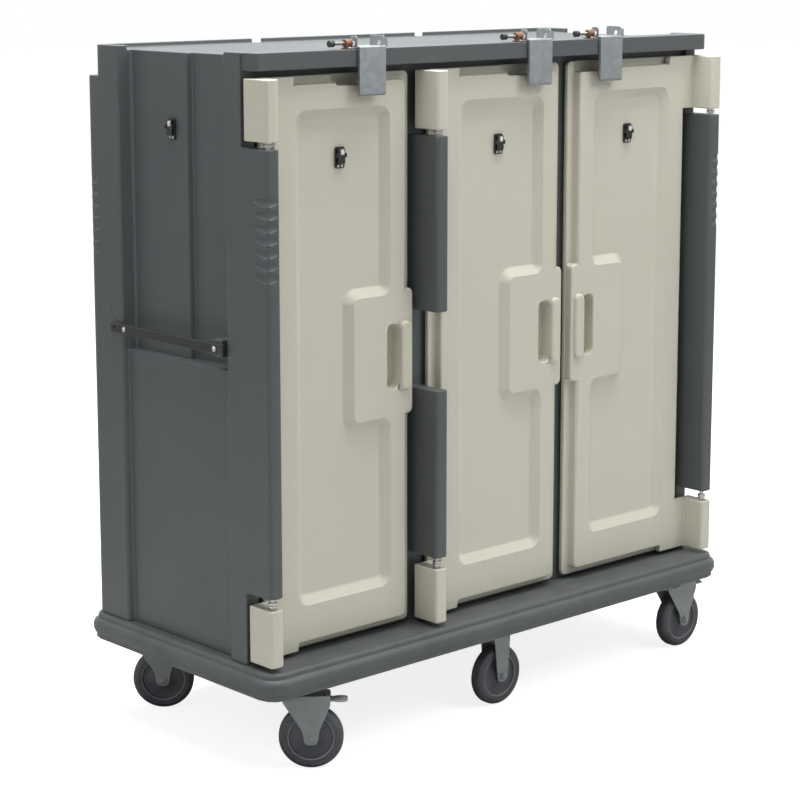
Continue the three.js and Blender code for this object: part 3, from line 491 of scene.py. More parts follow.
class Bench:
    """Builds meshes and puts finished pieces on their bodies."""

    cad_weld = 0.00002
    flat_angle = math.radians(0.6)
    room_share = 0.45
    turned_weld = 1e-6
    turned_smooth = 32.0
    made_smooth = 35.0
    prism_steps = 2
    corner_steps = 5
    head_steps = 32
    dome_steps = 6

    def __init__(self, paint: Paintbox) -> None:
        """Keeps the finishes and counts the pieces."""
        self.paint = paint
        self.count = 0

    def place(self, piece: bpy.types.Object, finish: str, body: str,
              stands_for: tuple = ()) -> None:
        """Dresses a piece and lets it ride on its body.

        Args:
            piece: the object, in its place at rest.
            finish: name of its finish.
            body: name of the CAD body that carries it.
            stands_for: CAD nodes that it is shown for.
        """
        piece.data.materials.clear()
        piece.data.materials.append(self.paint.get(finish))
        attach(piece, body)
        if stands_for:
            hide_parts(*stands_for)
        self.count += 1

    def from_bmesh(self, name: str, shape: bmesh.types.BMesh, smooth: float = 40.0,
                   matrix: Matrix | None = None) -> bpy.types.Object:
        """Turns a bmesh into an object.

        Args:
            name: name of the piece.
            shape: the mesh, which is freed.
            smooth: edges sharper than this angle in degrees stay sharp.
            matrix: where it goes.

        Returns:
            The new object, linked to the scene.
        """
        if matrix is not None:
            bmesh.ops.transform(shape, matrix=matrix, verts=shape.verts)
        bmesh.ops.recalc_face_normals(shape, faces=shape.faces)
        mesh = bpy.data.meshes.new(name)
        shape.to_mesh(mesh)
        shape.free()
        mesh.polygons.foreach_set("use_smooth", [True] * len(mesh.polygons))
        mesh.set_sharp_from_angle(angle=math.radians(smooth))
        piece = bpy.data.objects.new(name, mesh)
        bpy.context.scene.collection.objects.link(piece)
        return piece

    def softened(self, node: str, name: str, width: float, segments: int = 2,
                 angle: float = 36.0, split: bool = False) -> bpy.types.Object:
        """Copies a CAD node's shape and rounds its edges as moulding or pressing does.

        Args:
            node: the CAD node.
            name: name of the new piece.
            width: width of the rounding in metres.
            segments: steps across the rounding.
            angle: edges sharper than this in degrees are rounded.
            split: cuts hollow outlines into plain ones first.

        Returns:
            The new object.
        """
        shape = bmesh.new()
        shape.from_mesh(frame["nodes"][node].data)
        bmesh.ops.remove_doubles(shape, verts=shape.verts, dist=self.cad_weld)
        bmesh.ops.dissolve_limit(shape, angle_limit=self.flat_angle, verts=shape.verts,
                                 edges=shape.edges)
        if split:
            bmesh.ops.connect_verts_concave(shape, faces=shape.faces)
        self.mark_edges(shape, width, math.radians(angle))
        piece = self.from_bmesh(name, shape, 180.0)
        bevel = piece.modifiers.new("rounding", "BEVEL")
        bevel.width = width
        bevel.segments = segments
        bevel.limit_method = "WEIGHT"
        bevel.use_clamp_overlap = False
        bevel.miter_outer = "MITER_ARC"
        shading = piece.modifiers.new("shading", "WEIGHTED_NORMAL")
        shading.weight = 100
        shading.keep_sharp = True
        return piece

    def dress(self, node: str, name: str, finish: str, body: str, width: float,
              **rounding: float | bool) -> None:
        """Puts a softened copy of a CAD node in the node's place.

        Args:
            node: the CAD node.
            name: name of the new piece.
            finish: name of its finish.
            body: name of the CAD body that carries it.
            width: width of the rounding in metres.
            rounding: further settings of the softening.
        """
        self.place(self.softened(node, name, width, **rounding), finish, body, (node,))

    def mark_edges(self, shape: bmesh.types.BMesh, width: float, angle: float) -> None:
        """Marks the edges that have room for rounding on both of their faces.

        Args:
            shape: the mesh to mark.
            width: width of the rounding in metres.
            angle: edges flatter than this, in radians, stay as they are.
        """
        weights = shape.edges.layers.float.new("bevel_weight_edge")
        for edge in shape.edges:
            if len(edge.link_faces) != 2 or edge.calc_face_angle(0.0) < angle:
                continue
            start, end = (vert.co for vert in edge.verts)
            along = (end - start).normalized()
            room = min(max((vert.co - start).cross(along).length for vert in face.verts)
                       for face in edge.link_faces)
            edge[weights] = min(1.0, self.room_share * room / width)

    def turned(self, name: str, profile: list, centre: Vector, axis: Matrix,
               segments: int = 48) -> bpy.types.Object:
        """Turns a closed profile about an axis.

        Args:
            name: name of the piece.
            profile: (radius, distance along the axis) points in metres, in order round it.
            centre: point on the axis where the distance is 0.
            axis: rotation that takes +Z to the axis.
            segments: steps round.

        Returns:
            The new object.
        """
        shape = bmesh.new()
        rings = []
        for step in range(segments):
            turn = 2 * math.pi * step / segments
            rings.append([shape.verts.new((r * math.cos(turn), r * math.sin(turn), z))
                          for r, z in profile])
        for step, ring in enumerate(rings):
            after = rings[(step + 1) % segments]
            for i in range(len(profile)):
                j = (i + 1) % len(profile)
                shape.faces.new((ring[i], ring[j], after[j], after[i]))
        bmesh.ops.remove_doubles(shape, verts=shape.verts, dist=self.turned_weld)
        return self.from_bmesh(name, shape, self.turned_smooth,
                               Matrix.Translation(centre) @ axis)

    def prism(self, outline: list, low: float, high: float,
              bevel: float) -> bmesh.types.BMesh:
        """Extrudes a flat outline along Z and rounds its rim.

        Args:
            outline: (x, y) points in metres.
            low: lower end.
            high: upper end.
            bevel: width of the rounding of both rims.

        Returns:
            The bmesh.
        """
        shape = bmesh.new()
        base = shape.faces.new([shape.verts.new((x, y, low)) for x, y in outline])
        made = bmesh.ops.extrude_face_region(shape, geom=[base])["geom"]
        tops = [part for part in made if isinstance(part, bmesh.types.BMVert)]
        bmesh.ops.translate(shape, verts=tops, vec=(0.0, 0.0, high - low))
        level = (high - low) / 1000
        rim = [edge for edge in shape.edges
               if abs(edge.verts[0].co.z - edge.verts[1].co.z) < level]
        bmesh.ops.bevel(shape, geom=rim, offset=bevel, segments=self.prism_steps, profile=0.5,
                        affect="EDGES", clamp_overlap=True)
        return shape

    def rounded(self, width: float, depth: float, radius: float) -> list:
        """Gives the outline of a rectangle with round corners, centred on the origin.

        Args:
            width: size along X.
            depth: size along Y.
            radius: radius of the corners.

        Returns:
            (x, y) points.
        """
        points = []
        for number, (sx, sy) in enumerate(((1, 1), (-1, 1), (-1, -1), (1, -1))):
            for step in range(self.corner_steps + 1):
                turn = math.pi / 2 * (number + step / self.corner_steps)
                points.append((sx * (width / 2 - radius) + radius * math.cos(turn),
                               sy * (depth / 2 - radius) + radius * math.sin(turn)))
        return points

    @staticmethod
    def ring(shape: bmesh.types.BMesh, radius: float, height: float, count: int) -> list:
        """Adds a level ring of evenly spaced vertices about the Z axis and returns them."""
        return [shape.verts.new((radius * math.cos(turn), radius * math.sin(turn), height))
                for turn in Bench.turns(count)]

    @staticmethod
    def polygon(radius: float, sides: int) -> list:
        """Gives the outline of a regular polygon."""
        return [(radius * math.cos(turn), radius * math.sin(turn))
                for turn in Bench.turns(sides)]

    def pan_screw(self, name: str, centre: Vector, axis: Matrix, radius: float,
                  height: float) -> bpy.types.Object:
        """Makes a domed screw head with a cross recess and a washer.

        Args:
            name: name of the piece.
            centre: middle of the face that it sits on.
            axis: rotation that takes +Z out of that face.
            radius: radius of the head.
            height: height of the head.

        Returns:
            The new object.
        """
        shape = bmesh.new()
        count = self.head_steps
        rim = 0.2 * height
        rings = [self.ring(shape, radius * 1.35, z, count) for z in (0.0, 0.12 * height, rim)]
        for step in range(self.dome_steps):
            rise = math.pi / 2 * step / self.dome_steps
            rings.append(self.ring(shape, radius * math.cos(rise),
                                   rim + 0.8 * height * math.sin(rise), count))
        rings.append(self.ring(shape, radius * 0.2, height, count))
        arms = (1.6, 0.8)
        for n, vert in enumerate(rings[-1]):
            vert.co.xy *= arms[0] if n % 8 < 3 else arms[1]
        rings.append([shape.verts.new((0.8 * v.co.x, 0.8 * v.co.y, 0.55 * height))
                      for v in rings[-1]])
        for first, second in zip(rings, rings[1:]):
            for n in range(count):
                after = (n + 1) % count
                shape.faces.new((first[n], first[after], second[after], second[n]))
        shape.faces.new(rings[0])
        shape.faces.new(rings[-1])
        return self.from_bmesh(name, shape, self.made_smooth,
                               Matrix.Translation(centre) @ axis)

    @staticmethod
    def turns(count: int) -> list:
        """Gives evenly spaced angles round a circle."""
        return [2 * math.pi * n / count for n in range(count)]

    def hex_bolt(self, name: str, centre: Vector, axis: Matrix, radius: float,
                 height: float) -> bpy.types.Object:
        """Makes a hexagon head on a round washer.

        Args:
            name: name of the piece.
            centre: middle of the face that it sits on.
            axis: rotation that takes +Z out of that face.
            radius: radius across the corners of the head.
            height: height of head and washer together.

        Returns:
            The new object.
        """
        shape = self.prism(self.polygon(radius, 6), 0.22 * height, height, 0.1 * height)
        washer = self.prism(self.polygon(radius * 1.25, 32), 0.0, 0.24 * height, 0.05 * height)
        mesh = bpy.data.meshes.new("washer")
        washer.to_mesh(mesh)
        washer.free()
        shape.from_mesh(mesh)
        bpy.data.meshes.remove(mesh)
        return self.from_bmesh(name, shape, self.made_smooth,
                               Matrix.Translation(centre) @ axis)


def middle(node: str) -> Vector:
    """Gives the middle of a CAD node's box."""
    low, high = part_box(node)
    return (low + high) / 2


def joint(name: str) -> dict:
    """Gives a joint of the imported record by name."""
    return next(j for j in frame["record"]["behaviour"]["joints"] if j["name"] == name)


def turn_to(direction: Vector) -> Matrix:
    """Gives the rotation that takes +Z to a direction."""
    return direction.to_track_quat("Z", "Y").to_matrix().to_4x4()


# ---------------------------------------------------------------- sub-assemblies


@dataclass
class Cabinet:
    """The insulated cabinet and the wheeled platform that it stands on."""

    bench: Bench
    cabinet_round: float = 0.0022
    platform_round: float = 0.0020
    platform_angle: float = 50.0

    def build(self) -> None:
        """Rounds and dresses the two large mouldings."""
        self.bench.dress("cabinet_shell", "cabinet_moulding", "slate_polyethylene", "cabinet",
                         self.cabinet_round, split=True)
        self.bench.dress("base_platform", "platform_moulding", "slate_base", "cabinet",
                         self.platform_round, angle=self.platform_angle)


@dataclass
class Door:
    """One door with its seal and the two hinge pins that it turns on."""

    bench: Bench
    number: int
    moulding_round: float = 0.0028
    seal_round: float = 0.0012
    collar_lip: float = 0.005
    bush_drop: float = 0.0075
    turned_steps: int = 32

    def build(self) -> None:
        """Builds the moulding, the seal and both pins."""
        name = f"door_{self.number}"
        self.bench.dress(f"{name}_panel", f"{name}_moulding", "cream_polyethylene", name,
                         self.moulding_round, segments=3)
        self.bench.dress(f"{name}_gasket", f"{name}_seal", "compression_seal", name,
                         self.seal_round)
        for end in ("lower", "upper"):
            self.hinge_pin(f"{name}_{end}_hinge_pin", end)

    def hinge_pin(self, node: str, end: str) -> None:
        """Turns a hinge pin with a grooved collar, and the bush beside the collar.

        Args:
            node: the CAD node of the pin.
            end: lower or upper, which says on which side the bush lies.
        """
        low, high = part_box(node)
        centre = (low + high) / 2
        collar = (high.x - low.x) / 2
        shaft = collar - self.collar_lip
        half = (high.z - low.z) / 2
        profile = [(0.0, -half), (shaft, -half), (shaft, -0.0038), (collar - 0.001, -0.0038),
                   (collar, -0.003), (collar, -0.001), (collar - 0.0012, -0.0006),
                   (collar - 0.0012, 0.0006), (collar, 0.001), (collar, 0.003),
                   (collar - 0.001, 0.0038), (shaft, 0.0038), (shaft, half), (0.0, half)]
        pin = self.bench.turned(node.replace("hinge_pin", "pivot"), profile, centre,
                                Axis.Z.value, self.turned_steps)
        self.bench.place(pin, "zinc_plate", "cabinet", (node,))
        drop = -self.bush_drop if end == "lower" else self.bush_drop
        bush = [(shaft + 0.0004, -0.0018), (collar - 0.0012, -0.0018), (collar - 0.0004, 0.0),
                (collar - 0.0012, 0.0018), (shaft + 0.0004, 0.0018)]
        ring = self.bench.turned(node.replace("hinge_pin", "bush"), bush,
                                 centre + UP * drop, Axis.Z.value, self.turned_steps)
        self.bench.place(ring, "zinc_plate", "cabinet")


@dataclass
class CardClip:
    """A small spring clip that holds a card, with a white tab on its lever as a painted highlight."""

    bench: Bench
    name: str
    base_body: str
    lever_body: str
    outward: Vector
    base_round: float = 0.0008
    lever_round: float = 0.0006
    tab_size: tuple = (0.0105, 0.0125, 0.003)
    tab_ends: tuple = (-0.0006, 0.0016)
    tab_round: float = 0.0006
    tab_sunk: float = 0.0008
    tab_aside: float = 0.0015
    tab_above: float = 0.0095
    screw_above: float = 0.0055
    screw_aside: float = 0.0055
    foot_thick: float = 0.004
    screw_size: tuple = (0.0024, 0.0015)

    def build(self) -> None:
        """Rounds the clip's two pieces and adds the painted-highlight tab and the screws."""
        self.bench.dress(f"{self.name}_base", f"{self.name}_plate", "black_nylon",
                         self.base_body, self.base_round)
        self.bench.dress(f"{self.name}_lever", f"{self.name}_tongue", "black_nylon",
                         self.lever_body, self.lever_round)
        side = UP.cross(self.outward)
        self.tab(side)
        low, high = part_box(f"{self.name}_base")
        foot = Vector(((low.x + high.x) / 2, (low.y + high.y) / 2, low.z + self.screw_above))
        back = foot + self.outward * (self.foot_thick
                                      - abs((high - low).dot(self.outward)) / 2)
        # The screw heads take the same flat white, as painted highlights.
        for number, offset in enumerate((-self.screw_aside, self.screw_aside)):
            screw = self.bench.pan_screw(f"{self.name}_screw_{number + 1}", back + side * offset,
                                         turn_to(self.outward), *self.screw_size)
            self.bench.place(screw, "painted_highlight_white", self.base_body)

    def tab(self, side: Vector) -> None:
        """Adds a white tab near the top of the lever; its white is a painted highlight.

        Args:
            side: direction across the clip.
        """
        low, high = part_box(f"{self.name}_lever")
        face = (low + high) / 2 + self.outward * (abs((high - low).dot(self.outward)) / 2
                                                  - self.tab_sunk)
        turn = Matrix((side, UP, self.outward)).transposed().to_4x4()
        tab = self.bench.prism(self.bench.rounded(*self.tab_size), *self.tab_ends,
                               self.tab_round)
        # The tab's white is a painted highlight on the black lever.
        spot = face + side * self.tab_aside + UP * self.tab_above
        piece = self.bench.from_bmesh(f"{self.name}_tab", tab, self.bench.made_smooth,
                                      Matrix.Translation(spot) @ turn)
        self.bench.place(piece, "painted_highlight_white", self.lever_body)


@dataclass
class Latch:
    """A folded steel plate on the door and the sliding bolt on the roof that locks it."""

    bench: Bench
    number: int
    fold_round: float = 0.0009
    barrel_round: float = 0.0006
    shank: float = 0.004
    knob_length: float = 0.014
    rib_pitch: float = 0.0042
    smooth_end: float = 0.020
    collar_in: float = 0.0012
    screw_in: float = 0.005
    foot_thick: float = 0.0025
    screw_size: tuple = (0.0033, 0.0022)
    turned_steps: int = 28

    def __post_init__(self) -> None:
        """Names the latch."""
        self.name = f"latch_{self.number}"

    def build(self) -> None:
        """Builds the plate, the bolt with its ribbed shank, and the bush."""
        name = self.name
        self.bench.dress(f"{name}_plate", f"{name}_hook", "stainless_sheet",
                         f"door_{self.number}", self.fold_round)
        self.bolt()
        self.bench.dress(f"{name}_barrel", f"{name}_keeper", "copper_bush", "cabinet",
                         self.barrel_round)
        self.collars()
        self.foot_screws()

    def turned(self, name: str, profile: list, centre: Vector, finish: str, body: str,
               stands_for: tuple = ()) -> None:
        """Turns a piece of the bolt's line and dresses it.

        Args:
            name: end of the piece's name.
            profile: closed profile as (radius, distance along X).
            centre: point on the bolt's axis.
            finish: name of its finish.
            body: name of the CAD body that carries it.
            stands_for: CAD nodes that it is shown for.
        """
        piece = self.bench.turned(f"{self.name}_{name}", profile, centre, Axis.X.value,
                                  self.turned_steps)
        self.bench.place(piece, finish, body, stands_for)

    def bolt(self) -> None:
        """Turns the bolt with its ribbed shank, and the grooved knob at its end."""
        low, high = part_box(f"{self.name}_bolt")
        centre = (low + high) / 2
        half = (high.x - low.x) / 2
        knob = (high.z - low.z) / 2
        body = f"latch_bolt_{self.number}"
        profile = [(0.0, -half + 0.002), (self.shank, -half + 0.002)]
        place = -half + self.knob_length + 0.002
        while place < half - self.smooth_end:
            profile += [(self.shank, place), (self.shank - 0.0008, place + 0.0008),
                        (self.shank - 0.0008, place + 0.0018), (self.shank, place + 0.0026)]
            place += self.rib_pitch
        profile += [(self.shank, half - 0.002), (self.shank - 0.002, half), (0.0, half)]
        self.turned("sliding_bolt", profile, centre, "dull_zinc", body, (f"{self.name}_bolt",))
        end = -half + self.knob_length
        grip = [(0.0, -half), (knob - 0.0012, -half), (knob, -half + 0.0012),
                (knob, -half + 0.0035), (knob - 0.0022, -half + 0.0050),
                (knob - 0.0022, end - 0.0045), (knob - 0.0005, end - 0.0030),
                (knob - 0.0005, end - 0.0010), (knob - 0.0015, end), (0.0, end)]
        self.turned("bolt_knob", grip, centre, "black_nylon", body)

    def collars(self) -> None:
        """Turns the two collars at the ends of the bush."""
        low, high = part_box(f"{self.name}_barrel")
        line = middle(f"{self.name}_bolt")
        collar = [(0.0047, -0.0016), (0.0092, -0.0016), (0.0098, -0.0008),
                  (0.0098, 0.0008), (0.0092, 0.0016), (0.0047, 0.0016)]
        for number, x in enumerate((low.x + self.collar_in, high.x - self.collar_in)):
            self.turned(f"collar_{number + 1}", collar, Vector((x, line.y, line.z)),
                        "copper_bush", "cabinet")

    def foot_screws(self) -> None:
        """Adds the two screws that hold the bush to the roof."""
        low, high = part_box(f"{self.name}_barrel")
        for number, y in enumerate((low.y + self.screw_in, high.y - self.screw_in)):
            spot = Vector(((low.x + high.x) / 2, y, low.z + self.foot_thick))
            screw = self.bench.pan_screw(f"{self.name}_foot_screw_{number + 1}", spot,
                                         Axis.Z.value, *self.screw_size)
            self.bench.place(screw, "zinc_plate", "cabinet")


@dataclass
class PushBar:
    """A flat nylon bar screwed across the side recess."""

    bench: Bench
    node: str
    outward: Vector
    bar_round: float = 0.0018
    block_width: float = 0.020
    block_over: float = 0.003
    block_corner: float = 0.003
    block_ends: tuple = (-0.006, 0.002)
    block_round: float = 0.0012
    block_in: float = 0.0105
    screw_front: float = 0.036
    screw_back: float = 0.056
    screw_size: tuple = (0.0052, 0.0030)

    def build(self) -> None:
        """Rounds the bar and adds its end block and its two screws."""
        self.bench.dress(self.node, f"{self.node}_moulding", "black_nylon", "cabinet",
                         self.bar_round, segments=3)
        low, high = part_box(self.node)
        face = high.x if self.outward.x > 0 else low.x
        height = (low.z + high.z) / 2
        turn = Matrix((Vector((0, 1, 0)), UP, Vector((1, 0, 0)))).transposed().to_4x4()
        block = self.bench.prism(
            self.bench.rounded(self.block_width, high.z - low.z + self.block_over,
                               self.block_corner), *self.block_ends, self.block_round)
        if self.outward.x < 0:
            turn = turn @ Matrix.Diagonal((1, 1, -1, 1))
        spot = Matrix.Translation(Vector((face, low.y + self.block_in, height))) @ turn
        self.bench.place(self.bench.from_bmesh(f"{self.node}_end_block", block,
                                               self.bench.made_smooth, spot),
                         "black_nylon", "cabinet")
        for number, y in enumerate((low.y + self.screw_front, high.y - self.screw_back)):
            screw = self.bench.pan_screw(f"{self.node}_screw_{number + 1}",
                                         Vector((face, y, height)), turn_to(self.outward),
                                         *self.screw_size)
            self.bench.place(screw, "zinc_plate", "cabinet")


@dataclass
class TrayRails:
    """The two ladders of tray ledges inside one compartment."""

    bench: Bench
    number: int
    ledge_round: float = 0.0009

    def build(self) -> None:
        """Rounds and dresses both ladders."""
        for hand in ("left", "right"):
            node = f"compartment_{self.number}_{hand}_tray_rail"
            self.bench.dress(node, node.replace("tray_rail", "tray_ladder"), "rail_moulding",
                             "cabinet", self.ledge_round)


@dataclass
class Caster:
    """One caster: plate, fork, tyre on a disc, axle bolt and brake."""

    bench: Bench
    name: str
    swivels: bool
    half_width: float = 0.018
    side_wall: float = 0.022
    leg_face: float = 0.0270
    rim_steps: int = 72
    fork_round: float = 0.0010
    plate_round: float = 0.0009
    nut_size: tuple = (0.0098, 0.0055)
    cap_out: float = 0.0068
    cap_steps: int = 28
    bolt_size: tuple = (0.0070, 0.0045)
    bolt_in: float = 0.012
    bolt_spread: float = 0.032
    plate_thick: float = 0.006
    bell_gap: float = 0.0004
    bell_steps: int = 48
    rib_size: tuple = (0.0026, 0.030, 0.0012)
    rib_ends: tuple = (-0.0008, 0.0012)
    rib_round: float = 0.0005
    rib_above: float = 0.002
    rib_start: float = 0.034
    rib_pitch: float = 0.0045
    ribs: int = 4

    def __post_init__(self) -> None:
        """Takes the axle's place and direction from the record."""
        self.prefix = f"{self.name}_caster"
        spin = joint(f"{self.name}_wheel_spin")
        self.axle = Vector(spin["pos_m"])
        self.across = Vector(spin["axis"]).normalized()
        self.along = Vector((self.across.y, -self.across.x, 0.0))
        self.radius = self.axle.z
        self.hub = turn_to(self.across)
        self.carrier = f"{self.name}_swivel" if self.swivels else "cabinet"

    def build(self) -> None:
        """Builds and dresses the whole caster."""
        self.tyre()
        self.disc()
        self.bench.dress(f"{self.prefix}_fork", f"{self.prefix}_pressing", "fork_lacquer",
                         self.carrier, self.fork_round)
        self.axle_bolt()
        if self.swivels:
            self.swivel_parts()
        self.plate_bolts()

    def tyre(self) -> None:
        """Turns the tyre with a crowned tread and a raised line on its side."""
        r, w = self.radius, self.half_width
        half = [(r - self.side_wall, w - 0.0035), (r - 0.0205, w - 0.0004), (r - 0.0185, w),
                (r - 0.0125, w - 0.0004), (r - 0.0118, w + 0.0002), (r - 0.0108, w + 0.0002),
                (r - 0.0100, w - 0.0007), (r - 0.0058, w - 0.0022), (r - 0.0030, w - 0.0045),
                (r - 0.0012, w - 0.0075), (r - 0.0003, w - 0.0115), (r, w - 0.0160)]
        profile = half + [(a, -b) for a, b in reversed(half)]
        tyre = self.bench.turned(f"{self.prefix}_tyre", profile, self.axle, self.hub, self.rim_steps)
        self.bench.place(tyre, "wheel_side", f"{self.name}_wheel", (f"{self.prefix}_wheel",))
        tread = [(r - 0.0050, w - 0.0065), (r - 0.0012, w - 0.0072), (r + 0.0002, w - 0.0110),
                 (r + 0.0003, 0.0015), (r - 0.0004, 0.0008)]
        ring = tread + [(a, -b) for a, b in reversed(tread)]
        band = self.bench.turned(f"{self.prefix}_tread", ring, self.axle, self.hub, self.rim_steps)
        self.bench.place(band, "tread_rubber", f"{self.name}_wheel")

    def disc(self) -> None:
        """Turns the dished disc, the pale line round it and the hub."""
        r, w = self.radius, self.half_width
        bore, hub = 0.0066, 0.015
        outer = r - self.side_wall
        half = [(bore, 0.0222), (hub - 0.002, 0.0222), (hub, 0.0205), (hub + 0.0015, w - 0.0035),
                (hub + 0.006, w - 0.0062), (outer - 0.010, w - 0.0085), (outer - 0.0045, w - 0.0082),
                (outer - 0.0020, w - 0.0050), (outer + 0.0002, w - 0.0046)]
        profile = half + [(a, -b) for a, b in reversed(half)]
        disc = self.bench.turned(f"{self.prefix}_disc", profile, self.axle, self.hub, self.rim_steps)
        self.bench.place(disc, "wheel_disc", f"{self.name}_wheel")
        for number, sign in enumerate((1, -1)):
            line = [(outer - 0.0012, sign * (w - 0.0058)), (outer - 0.0012, sign * (w - 0.0022)),
                    (outer - 0.0004, sign * (w - 0.0014)), (outer + 0.0008, sign * (w - 0.0014)),
                    (outer + 0.0014, sign * (w - 0.0022)), (outer + 0.0014, sign * (w - 0.0058))]
            ring = self.bench.turned(f"{self.prefix}_rim_line_{number + 1}", line, self.axle, self.hub,
                                     self.rim_steps)
            self.bench.place(ring, "rim_line", f"{self.name}_wheel")

    def axle_bolt(self) -> None:
        """Adds the axle's head and nut outside the fork, and a blue cap on fixed casters."""
        for number, sign in enumerate((-1, 1)):
            out = self.across * sign
            face = self.axle + out * self.leg_face
            bolt = self.bench.hex_bolt(f"{self.prefix}_axle_nut_{number + 1}", face, turn_to(out),
                                       *self.nut_size)
            self.bench.place(bolt, "fork_lacquer", self.carrier)
            cap = [(0.0, 0.0), (0.0052, 0.0), (0.0050, 0.0008), (0.0036, 0.0016), (0.0, 0.0019)]
            end = self.bench.turned(f"{self.prefix}_axle_cap_{number + 1}", cap,
                                    face + out * self.cap_out, turn_to(out),
                                    self.cap_steps)
            finish = "fork_lacquer" if self.swivels else "blue_cap"
            self.bench.place(end, finish, self.carrier)

    def swivel_parts(self) -> None:
        """Adds the bell over the ball race, the mounting plate and the brake pedal."""
        swivel = Vector(joint(f"{self.name}_swivel_turn")["pos_m"])
        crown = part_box(f"{self.prefix}_mounting_plate")[0].z - self.bell_gap
        bell = [(0.0, -0.012), (0.0290, -0.012), (0.0335, -0.0105), (0.0350, -0.0075),
                (0.0335, -0.0015), (0.0320, -0.0002), (0.0, -0.0002)]
        cup = self.bench.turned(f"{self.prefix}_race_bell", bell, Vector((swivel.x, swivel.y, crown)),
                                Axis.Z.value, self.bell_steps)
        self.bench.place(cup, "fork_lacquer", self.carrier)
        self.bench.dress(f"{self.prefix}_mounting_plate", f"{self.prefix}_top_plate",
                         "fork_lacquer", "cabinet", self.plate_round)
        self.bench.dress(f"{self.prefix}_brake_pedal", f"{self.prefix}_pedal", "fork_lacquer",
                         f"{self.name}_brake", self.plate_round)
        self.pedal_ribs(swivel)

    def pedal_ribs(self, swivel: Vector) -> None:
        """Adds grip ribs on the brake pedal's tread.

        Args:
            swivel: point on the swivel axis.
        """
        pivot = Vector(joint(f"{self.name}_brake_press")["pos_m"])
        turn = Matrix((self.along, self.across, UP)).transposed().to_4x4()
        reach = (pivot - swivel).dot(self.along)
        for number in range(self.ribs):
            rib = self.bench.prism(self.bench.rounded(*self.rib_size), *self.rib_ends,
                                   self.rib_round)
            place = Vector((swivel.x, swivel.y, pivot.z + self.rib_above)) + self.along * (
                reach + self.rib_start + self.rib_pitch * number)
            piece = self.bench.from_bmesh(f"{self.prefix}_pedal_rib_{number + 1}", rib,
                                          self.bench.made_smooth,
                                          Matrix.Translation(place) @ turn)
            self.bench.place(piece, "fork_lacquer", f"{self.name}_brake")

    def plate_bolts(self) -> None:
        """Adds the four bolts that hold the caster's plate to the platform."""
        node = f"{self.prefix}_mounting_plate" if self.swivels else f"{self.prefix}_fork"
        low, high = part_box(node)
        under = high.z - self.plate_thick
        down = turn_to(-UP)
        number = 0
        for x in (low.x + self.bolt_in, high.x - self.bolt_in):
            for y in (middle(node).y - self.bolt_spread, middle(node).y + self.bolt_spread):
                number += 1
                bolt = self.bench.hex_bolt(f"{self.prefix}_plate_bolt_{number}",
                                           Vector((x, y, under)), down, *self.bolt_size)
                self.bench.place(bolt, "zinc_plate", "cabinet")


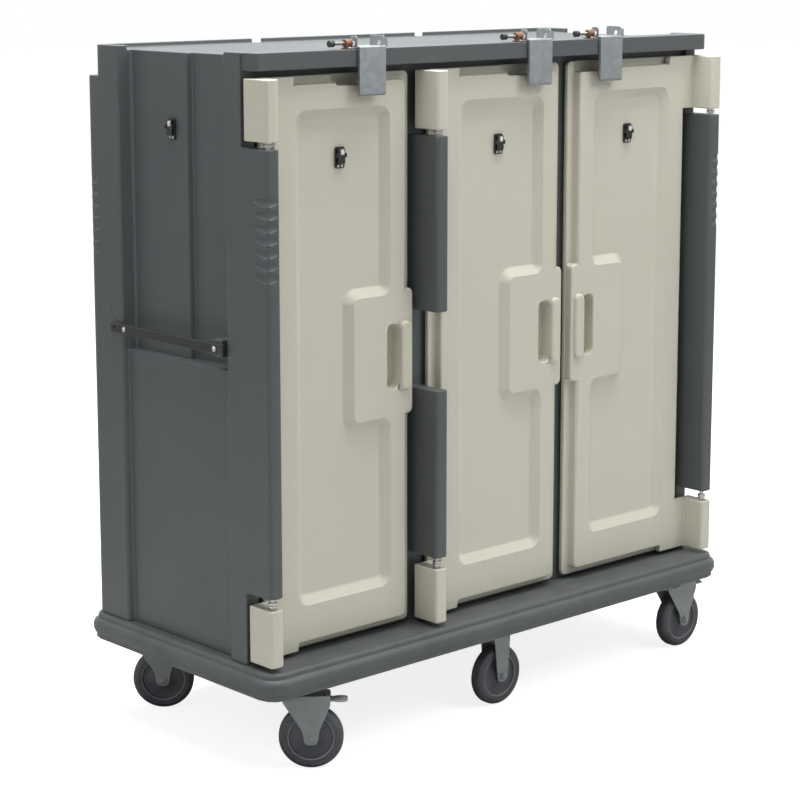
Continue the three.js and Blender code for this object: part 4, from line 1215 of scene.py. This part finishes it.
@dataclass
class Studio:
    """Pale floor, soft light and the camera."""

    azimuth: float = -42.625
    pitch: float = -9.999
    camera_at: tuple = (-3.878, -4.147, 1.912)
    lens: float = 101.04
    lens_drop: float = -0.08
    lens_aside: float = -0.004
    floor_size: float = 60.0
    floor_tones: tuple = (0.60, 0.63)
    floor_cloud: float = 0.6
    aim_height: float = 1.1
    room_light: float = 0.27
    floor_glow: float = 0.82
    lamps: tuple = (("key", (1.6, -3.1, 4.0), 2.2, 66.0), ("top", (0.0, 0.1, 5.0), 3.6, 400.0),
                    ("side", (-4.3, -0.4, 2.9), 2.4, 26.0))

    def build(self) -> None:
        """Makes the floor, the lights and the camera."""
        self.floor()
        self.lights()
        self.camera()

    def floor(self) -> None:
        """Lays a pale floor under the wheels."""
        shape = bmesh.new()
        bmesh.ops.create_grid(shape, x_segments=8, y_segments=8, size=self.floor_size / 2)
        mesh = bpy.data.meshes.new("studio_floor")
        shape.to_mesh(mesh)
        shape.free()
        floor = bpy.data.objects.new("studio_floor", mesh)
        bpy.context.scene.collection.objects.link(floor)
        material = bpy.data.materials.new("floor_paint")
        material.use_nodes = True
        tree = Tree(material.node_tree)
        shader = material.node_tree.nodes["Principled BSDF"]
        place = tree.add("ShaderNodeTexCoord").outputs["Object"]
        tone = tree.mix(tree.noise(place, self.floor_cloud),
                        *((part, part, part, 1.0) for part in self.floor_tones))
        material.node_tree.links.new(tone, shader.inputs["Base Color"])
        shader.inputs["Roughness"].default_value = 0.85
        shader.inputs["Specular IOR Level"].default_value = 0.1
        shader.inputs["Emission Color"].default_value = (1.0, 1.0, 1.0, 1.0)
        seen = tree.add("ShaderNodeLightPath").outputs["Is Camera Ray"]
        glow = tree.math("MULTIPLY", seen, self.floor_glow)
        material.node_tree.links.new(glow, shader.inputs["Emission Strength"])
        mesh.materials.append(material)

    def lights(self) -> None:
        """Sets a bright room and three soft lamps."""
        world = bpy.data.worlds.new("studio_room")
        world.use_nodes = True
        world.node_tree.nodes.clear()
        tree = Tree(world.node_tree)
        path = tree.add("ShaderNodeLightPath").outputs
        seen = tree.math("ADD", path["Is Camera Ray"], path["Is Glossy Ray"], clamp=True)
        soft = tree.add("ShaderNodeBackground", {"Color": (1.0, 1.0, 1.0, 1.0),
                                                 "Strength": self.room_light})
        white = tree.add("ShaderNodeBackground", {"Color": (1.0, 1.0, 1.0, 1.0),
                                                  "Strength": 1.0})
        both = tree.add("ShaderNodeMixShader", {0: seen, 1: soft.outputs[0],
                                                2: white.outputs[0]})
        tree.add("ShaderNodeOutputWorld", {"Surface": both.outputs[0]})
        bpy.context.scene.world = world
        bpy.context.scene.view_settings.view_transform = "Standard"
        for name, place, size, power in self.lamps:
            lamp = bpy.data.lights.new(name, "AREA")
            lamp.energy = power
            lamp.size = size
            holder = bpy.data.objects.new(name, lamp)
            bpy.context.scene.collection.objects.link(holder)
            aim = UP * self.aim_height - Vector(place)
            holder.matrix_world = (Matrix.Translation(place)
                                   @ aim.to_track_quat("-Z", "Y").to_matrix().to_4x4())

    def camera(self) -> None:
        """Sets the camera to look a little down at the cart's left front corner."""
        data = bpy.data.cameras.new("view")
        data.sensor_width = 36.0
        data.lens = self.lens
        data.shift_x = self.lens_aside
        data.shift_y = self.lens_drop
        camera = bpy.data.objects.new("view", data)
        bpy.context.scene.collection.objects.link(camera)
        camera.location = self.camera_at
        camera.rotation_euler = (math.radians(90.0 + self.pitch), 0.0,
                                 math.radians(self.azimuth))
        bpy.context.scene.camera = camera


def main() -> None:
    """Builds the cart piece by piece and logs how many pieces each part adds."""
    logging.basicConfig(level=logging.INFO, format="%(name)s: %(message)s")
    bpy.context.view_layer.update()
    bench = Bench(Paintbox())
    Studio().build()
    assemblies = [("cabinet and platform", Cabinet(bench))]
    assemblies += [(f"door {n}", Door(bench, n)) for n in DOOR_NUMBERS]
    assemblies += [(f"latch {n}", Latch(bench, n)) for n in DOOR_NUMBERS]
    assemblies += [(f"door {n} card clip", CardClip(bench, f"door_{n}_card_clip", f"door_{n}",
                                                    f"clip_lever_{n}", Vector((0, -1, 0))))
                   for n in DOOR_NUMBERS]
    assemblies.append(("side card clip", CardClip(bench, "side_card_clip", "cabinet",
                                                  "side_clip_lever", Vector((-1, 0, 0)))))
    assemblies += [(f"{side} push bar", PushBar(bench, f"{side}_push_bar", Vector((x, 0, 0))))
                   for side, x in (("left", -1), ("right", 1))]
    assemblies += [(f"compartment {n} rails", TrayRails(bench, n)) for n in DOOR_NUMBERS]
    assemblies += [(f"{name} caster", Caster(bench, name, name in CORNERS))
                   for name in CORNERS + MIDDLES]
    for label, assembly in assemblies:
        before = bench.count
        assembly.build()
        LOG.info("%s: %d pieces", label, bench.count - before)
    LOG.info("%d pieces in all", bench.count)


if __name__ == "__main__":
    main()
